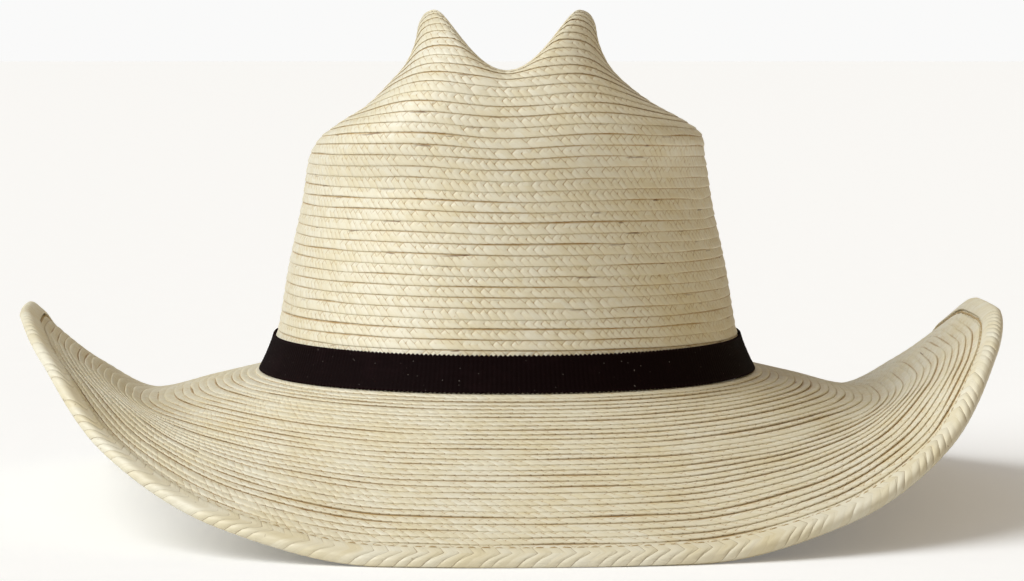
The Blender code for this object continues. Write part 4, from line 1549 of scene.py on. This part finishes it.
@dataclass(frozen=True)
class BackSeam:
    """The blank size label over the sweatband's seam and the little bow below it."""

    form: HatForm
    cloth: bpy.types.Material
    satin: bpy.types.Material
    thread: bpy.types.Material
    inner_face: float = 5.2 * MM    # the sweatband's inner face and a gap, below the crown's
    label_half: float = math.radians(7.0)
    label_low: float = 18.5 * MM
    label_high: float = 31.5 * MM
    label_thickness: float = 0.4 * MM
    bow_height: float = 10.5 * MM
    loop_reach: float = 12.4 * MM
    loop_half: float = 4.0 * MM
    bow_half: float = math.radians(9.0)
    knot_half: float = 1.2 * MM
    knot_size: tuple = (3.2 * MM, 4.6 * MM, 1.75 * MM)
    tail_reach: float = 8.2 * MM
    tail_drop: float = 1.3 * MM

    @property
    def label_middle(self) -> float:
        """Height of the label's middle."""
        return (self.label_low + self.label_high) / 2.0

    @property
    def label_width(self) -> float:
        """The label's height on the band."""
        return self.label_high - self.label_low

    def wrap(self, half_angle: float, height: float) -> Wrap:
        """A wrap centred on the back."""
        return Wrap(self.form, Side.INSIDE, BACK - half_angle, BACK + half_angle, height,
                    self.inner_face)

    def build_label(self) -> bpy.types.Object:
        """A woven label whose folded-under ends stand a little prouder; its stitches are added in
        build.
        """
        wrap = self.wrap(self.label_half, self.label_middle)

        def relief(points: Array) -> Array:
            """Raise the folded ends a little and move the strip up to the label's middle height.
            """
            end = smoothstep(wrap.length / 2.0 - 3.2 * MM, wrap.length / 2.0 - 2.6 * MM,
                             np.abs(points[:, 0]))
            points[:, 2] += 0.12 * MM * end
            points[:, 1] += self.label_middle
            return points

        label = flat_strip("blank_size_label", wrap.length, self.label_width, 60, 20, relief,
                           self.label_thickness * 0.6, 0.06 * MM)
        set_points(label, points_of(label) + np.array([0.0, 0.0, self.label_thickness * 0.7]))
        wrap.bend(label)
        hand_over(label, self.cloth, Body.HAT, "label_cloth", "size_label")
        return (label, wrap.length)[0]

    def build_loop(self, name: str, way: float) -> bpy.types.Object:
        """One loop of the bow: satin that widens from the knot, turns back and is gathered.

        Args:
            name: The piece's name.
            way: -1 or 1, for the side on which it lies.

        Returns:
            The loop in its place.
        """
        def relief(points: Array) -> Array:
            """Bend the flat ribbon into a loop."""
            share = points[:, 0] + 0.5
            across = points[:, 1] * 2.0
            out = np.sin(share * math.pi) ** 0.75
            half = self.loop_half * (0.34 + 0.66 * smoothstep(0.05, 0.75, out))
            layer = np.cos(share * math.pi)
            gathers = 0.16 * MM * np.cos(across * 7.0) * (1.0 - smoothstep(0.1, 0.8, out))
            x = way * (self.knot_half + (self.loop_reach - self.knot_half) * out)
            z = 0.95 * MM + 0.62 * MM * layer * (0.55 + 0.45 * out) + gathers
            z = z - 0.18 * MM * across ** 2 * layer * out
            return np.stack([x, self.bow_height + across * half * way, z], axis=-1)

        loop = flat_strip(name, 1.0, 1.0, 44, 14, relief, 0.2 * MM)
        return self.wrap(self.bow_half, self.bow_height).bend(loop)

    def build_tail(self, name: str, way: float) -> bpy.types.Object:
        """One tail of the bow, slanting down behind its loop.

        Args:
            name: The piece's name.
            way: -1 or 1, for the side on which it lies.

        Returns:
            The tail in its place.
        """
        def relief(points: Array) -> Array:
            """Slant the tail, let it widen and cut its end to a notch."""
            share = points[:, 0] + 0.5
            across = points[:, 1] * 2.0
            notch = 1.2 * MM * np.abs(across) * smoothstep(0.6, 1.0, share)
            half = 1.0 * MM + 0.6 * MM * share
            x = way * (0.8 * MM + self.tail_reach * share + notch)
            y = self.bow_height - self.tail_drop * share - 0.2 * MM + across * way * half
            z = 0.18 * MM + 0.1 * MM * np.sin(share * 9.0)
            return np.stack([x, y, z], axis=-1)

        tail = flat_strip(name, 1.0, 1.0, 24, 8, relief, 0.16 * MM)
        return self.wrap(self.bow_half, self.bow_height).bend(tail)

    def build_knot(self) -> bpy.types.Object:
        """The knot: a soft block, pinched round its middle."""
        let_go()
        bpy.ops.mesh.primitive_cube_add(size=1.0)
        knot = stretch("bow_knot", self.knot_size)
        bpy.ops.mesh.subdivide(number_cuts=3)
        bpy.ops.object.mode_set(mode="OBJECT")
        soft = knot.modifiers.new("softness", "SUBSURF")
        soft.levels = soft.render_levels = 2
        apply_modifiers(knot)
        points = points_of(knot)
        pleats = 1.0 + 0.05 * np.cos(points[:, 0] / MM * 5.5)
        waist = 1.0 - 0.22 * np.exp(-(points[:, 1] / (1.4 * MM)) ** 2)
        points[:, 0] *= waist
        points[:, 2] = points[:, 2] * pleats + 1.0 * MM
        points[:, 1] = points[:, 1] * pleats + self.bow_height
        set_points(knot, points)
        knot.data.shade_smooth()
        return self.wrap(self.bow_half, self.bow_height).bend(knot)

    def build(self) -> list[bpy.types.Object]:
        """Build the label with its stitches, and the bow."""
        label = self.build_label()
        wrap = self.wrap(self.label_half, self.label_middle)
        x, y = wrap.length / 2.0 - 1.6 * MM, self.label_width / 2.0 - 2.0 * MM
        shifts = np.array([(side * x, self.label_middle + step * y, self.label_thickness)
                           for side in (-1.0, 1.0) for step in (-1.0, -0.33, 0.33, 1.0)])
        tacks = stitch(2.2 * MM, 0.12 * MM).copied(
            "label_stitches", shifts, np.full(len(shifts), math.pi / 2.0), wrap.place)
        hand_over(tacks, self.thread, Body.HAT, "brown_thread")
        bow = [self.build_knot(), self.build_loop("bow_loop_left", -1.0),
               self.build_loop("bow_loop_right", 1.0), self.build_tail("bow_tail_left", -1.0),
               self.build_tail("bow_tail_right", 1.0)]
        for piece in bow:
            hand_over(piece, self.satin, Body.HAT, "bow_satin", "sweatband_bow")
        return [label, tacks, *bow]


# ---- hatband ------------------------------------------------------------------------------------
@dataclass(frozen=True)
class Hatband:
    """The elastic ribbon round the foot of the crown, and the tab over its seam."""

    form: HatForm
    ribbon: bpy.types.Material
    foot: float = 0.15 * MM
    height: float = 12.5 * MM
    thickness: float = 0.8 * MM
    rib: float = 1.65 * MM
    rib_height: float = 0.09 * MM
    picot: float = 0.55 * MM
    seam_at: float = math.radians(128.0)
    seam_half: float = math.radians(0.3)
    tab_half: float = math.radians(5.0)
    tab_thickness: float = 0.6 * MM
    shrunk: float = 0.95            # share of its thickness that a ribbed strip is given
    rib_steps: int = 5              # grid columns in one rib
    welts: tuple = (-0.30, -0.10, 0.10, 0.30)
    welt_half: float = 0.022
    welt_depth: float = 0.10 * MM
    edge_wear: float = 0.75

    def wrap(self, start: float, end: float, off: float) -> Wrap:
        """A wrap at the ribbon's height."""
        return Wrap(self.form, Side.OUTSIDE, start, end, self.foot + self.height / 2.0, off)

    def ribbed(self, name: str, wrap: Wrap, thickness: float,
               node: str) -> bpy.types.Object:
        """A ribbed strip wrapped round the crown.

        Args:
            name: The piece's name.
            wrap: Where it is wrapped.
            thickness: Its thickness.
            node: The CAD node that it stands for.

        Returns:
            The piece, with its worn edges in the attribute wear.
        """
        ribs = round(wrap.length / self.rib)

        def relief(points: Array) -> Array:
            """Raise the ribs, sink the woven lines between the elastic and tooth the edges."""
            phase = (points[:, 0] / wrap.length + 0.5) * ribs
            crest = 0.5 - 0.5 * np.cos(phase * TURN)
            share = points[:, 1] / self.height
            lines = sum(np.exp(-((share - welt) / self.welt_half) ** 2) for welt in self.welts)
            edge = smoothstep(0.40, 0.49, np.abs(share))
            points[:, 2] += self.rib_height * (crest - 1.0) * (1.0 - 0.4 * edge)
            points[:, 2] -= self.welt_depth * lines
            points[:, 1] += np.sign(share) * edge * self.picot * (crest - 0.5)
            points[:, 1] += self.foot + self.height / 2.0
            return points

        piece = flat_strip(name, wrap.length, self.height, ribs * self.rib_steps, 24, relief,
                           thickness * self.shrunk)
        share = (points_of(piece)[:, 1] - self.foot) / self.height - 0.5
        store(piece.data, "wear", "FLOAT", "POINT",
              smoothstep(0.455, 0.5, np.abs(share)) * self.edge_wear)
        wrap.bend(piece)
        hand_over(piece, self.ribbon, Body.HATBAND, "ribbon_grosgrain", node)
        return (piece, wrap.length)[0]

    def build(self) -> list[bpy.types.Object]:
        """Build the ribbon and its tab."""
        gap = self.form.gap
        start = self.seam_at + self.seam_half
        round_it = self.wrap(start, self.seam_at + TURN - self.seam_half, gap + self.thickness)
        over = self.wrap(self.seam_at - self.tab_half, self.seam_at + self.tab_half,
                         2.0 * gap + self.thickness + self.tab_thickness)
        return [self.ribbed("hatband_grosgrain", round_it, self.thickness,
                            "hatband_ribbon"),
                self.ribbed("hatband_tab", over, self.tab_thickness,
                            "hatband_seam_tab")]


# ---- studio -------------------------------------------------------------------------------------
@dataclass(frozen=True)
class Studio:
    """A plain pale floor, soft light from the left and the camera in front of the hat."""

    floor_colour: tuple = (0.95, 0.95, 0.945)
    sky_left: tuple = (0.355, 0.36, 0.375)
    sky_right: tuple = (0.31, 0.235, 0.135)
    sky_seen: tuple = (0.955, 0.955, 0.95)
    floor_glow: float = 0.15                # makes the paper look white, and lights nothing
    sun: tuple = (-0.70, -0.27, 0.66)       # direction towards it
    sun_strength: float = 2.65
    sun_angle: float = 0.9
    sun_colour: tuple = (0.975, 0.995, 1.0)
    sky_blend: tuple = (-0.4, 0.7)          # where the left sky turns into the right one
    distance: float = 1.4
    eye_height: float = 0.1725
    aside: float = 0.0018
    look_height: float = 0.0741
    lens: float = 134.9

    def build_floor(self) -> None:
        """Lay a wide floor."""
        let_go()
        bpy.ops.mesh.primitive_plane_add(size=30.0, location=(0.0, 0.0, 0.0))
        floor = bpy.context.object
        floor.name = floor.data.name = "studio_floor"
        s = Shader("studio_paper")
        tooth = s.noise(s.place(), 60.0, 3.0)
        shade = s.mix(s.span(tooth, 0.3, 0.7), self.floor_colour,
                      tuple(value * 0.985 for value in self.floor_colour))
        floor.data.materials.append(s.finish(
            shade, 0.9, tooth, 0.0002, 0.1, Emission_Color=(1.0, 1.0, 1.0),
            Emission_Strength=s.math("MULTIPLY", s.seen(), self.floor_glow)))

    def build_light(self) -> None:
        """A wide soft light high on the left, and a sky that is warmer on the right."""
        lamp = bpy.data.lights.new("key_light", "SUN")
        lamp.energy, lamp.angle, lamp.color = self.sun_strength, self.sun_angle, self.sun_colour
        holder = bpy.data.objects.new("key_light", lamp)
        x, y, z = self.sun
        holder.rotation_euler = (math.atan2(math.hypot(x, y), z), 0.0,
                                 math.atan2(y, x) + math.pi / 2.0)
        bpy.context.scene.collection.objects.link(holder)
        world = bpy.data.worlds.new("studio_sky")
        bpy.context.scene.world = world
        world.use_nodes = True
        sky = Nodes(world.node_tree)
        share = sky.span(sky.axes(sky.place("Generated"))[0], *self.sky_blend)
        colour = sky.mix(share, self.sky_left, self.sky_right)
        sky.fill(world.node_tree.nodes["Background"].inputs["Color"],
                 sky.mix(sky.seen(), colour, self.sky_seen))

    def build(self) -> None:
        """Set up floor, light and camera."""
        self.build_floor()
        self.build_light()
        camera = bpy.data.cameras.new("camera")
        camera.lens, camera.sensor_width = self.lens, 36.0
        camera.clip_start, camera.clip_end = 0.05, 60.0
        holder = bpy.data.objects.new("camera", camera)
        holder.location = (self.aside, -self.distance, self.eye_height)
        pitch = math.atan2(self.eye_height - self.look_height, self.distance)
        holder.rotation_euler = (math.pi / 2.0 - pitch, 0.0, 0.0)
        bpy.context.scene.collection.objects.link(holder)
        bpy.context.scene.camera = holder
        bpy.context.scene.view_settings.view_transform = "Standard"


# ---- the hat ------------------------------------------------------------------------------------
def check_form(form: HatForm) -> None:
    """Stop if the form's own height isn't the frame's."""
    ring = np.linspace(0.0, TURN, 721)
    tip = form.crown_point(ring[None, :], np.linspace(0.0, 1.0, 401)[:, None])
    height = float(tip[..., 2].max()) + form.lift
    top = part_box("crown_tip_braid")[1].z
    if abs(height - top) > CLOSE_ENOUGH:
        raise ValueError(f"the crown's formula gives {height:.4f} m, the frame {top:.4f} m")


def main() -> None:
    """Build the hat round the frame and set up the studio."""
    logging.basicConfig(level=logging.INFO, format="%(message)s")
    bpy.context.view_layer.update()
    form = HatForm()
    check_form(form)
    thread = SewingThread().build()
    plastic = ReedPlastic().build()
    straw = PalmStraw().build()
    # The fold's straw gets painted shade only in its grooves and slits, in a darker colour.
    rim_straw = PalmStraw(name="rim_straw", lap_shade_strength=0.0, groove_shade_strength=0.8,
                          low_share=1.0, cross_shade_strength=0.0, shade_and_speck_brown=(0.27, 0.17, 0.06)).build()
    assemblies = (
        StrawShell(form, straw),
        FoldedRim(form, rim_straw, thread, DrawnWire().build()),
        Sweatband(form, Leather().build(), FoamFinish().build(), plastic, thread,
                  Cloth("seam_tape", (0.16, 0.11, 0.07), (0.26, 0.19, 0.12)).build()),
        BackSeam(form, Cloth("label_cloth", (0.70, 0.68, 0.62), (0.58, 0.56, 0.50)).build(),
                 Cloth("bow_satin", (0.012, 0.008, 0.008), (0.035, 0.026, 0.026), 2400.0, 0.38,
                       0.1).build(), thread),
        Hatband(form, Grosgrain().build()),
    )
    for assembly in assemblies:
        pieces = assembly.build()
        LOG.info("%s: %d pieces", type(assembly).__name__, len(pieces))
    Studio().build()


if __name__ == "__main__":
    main()
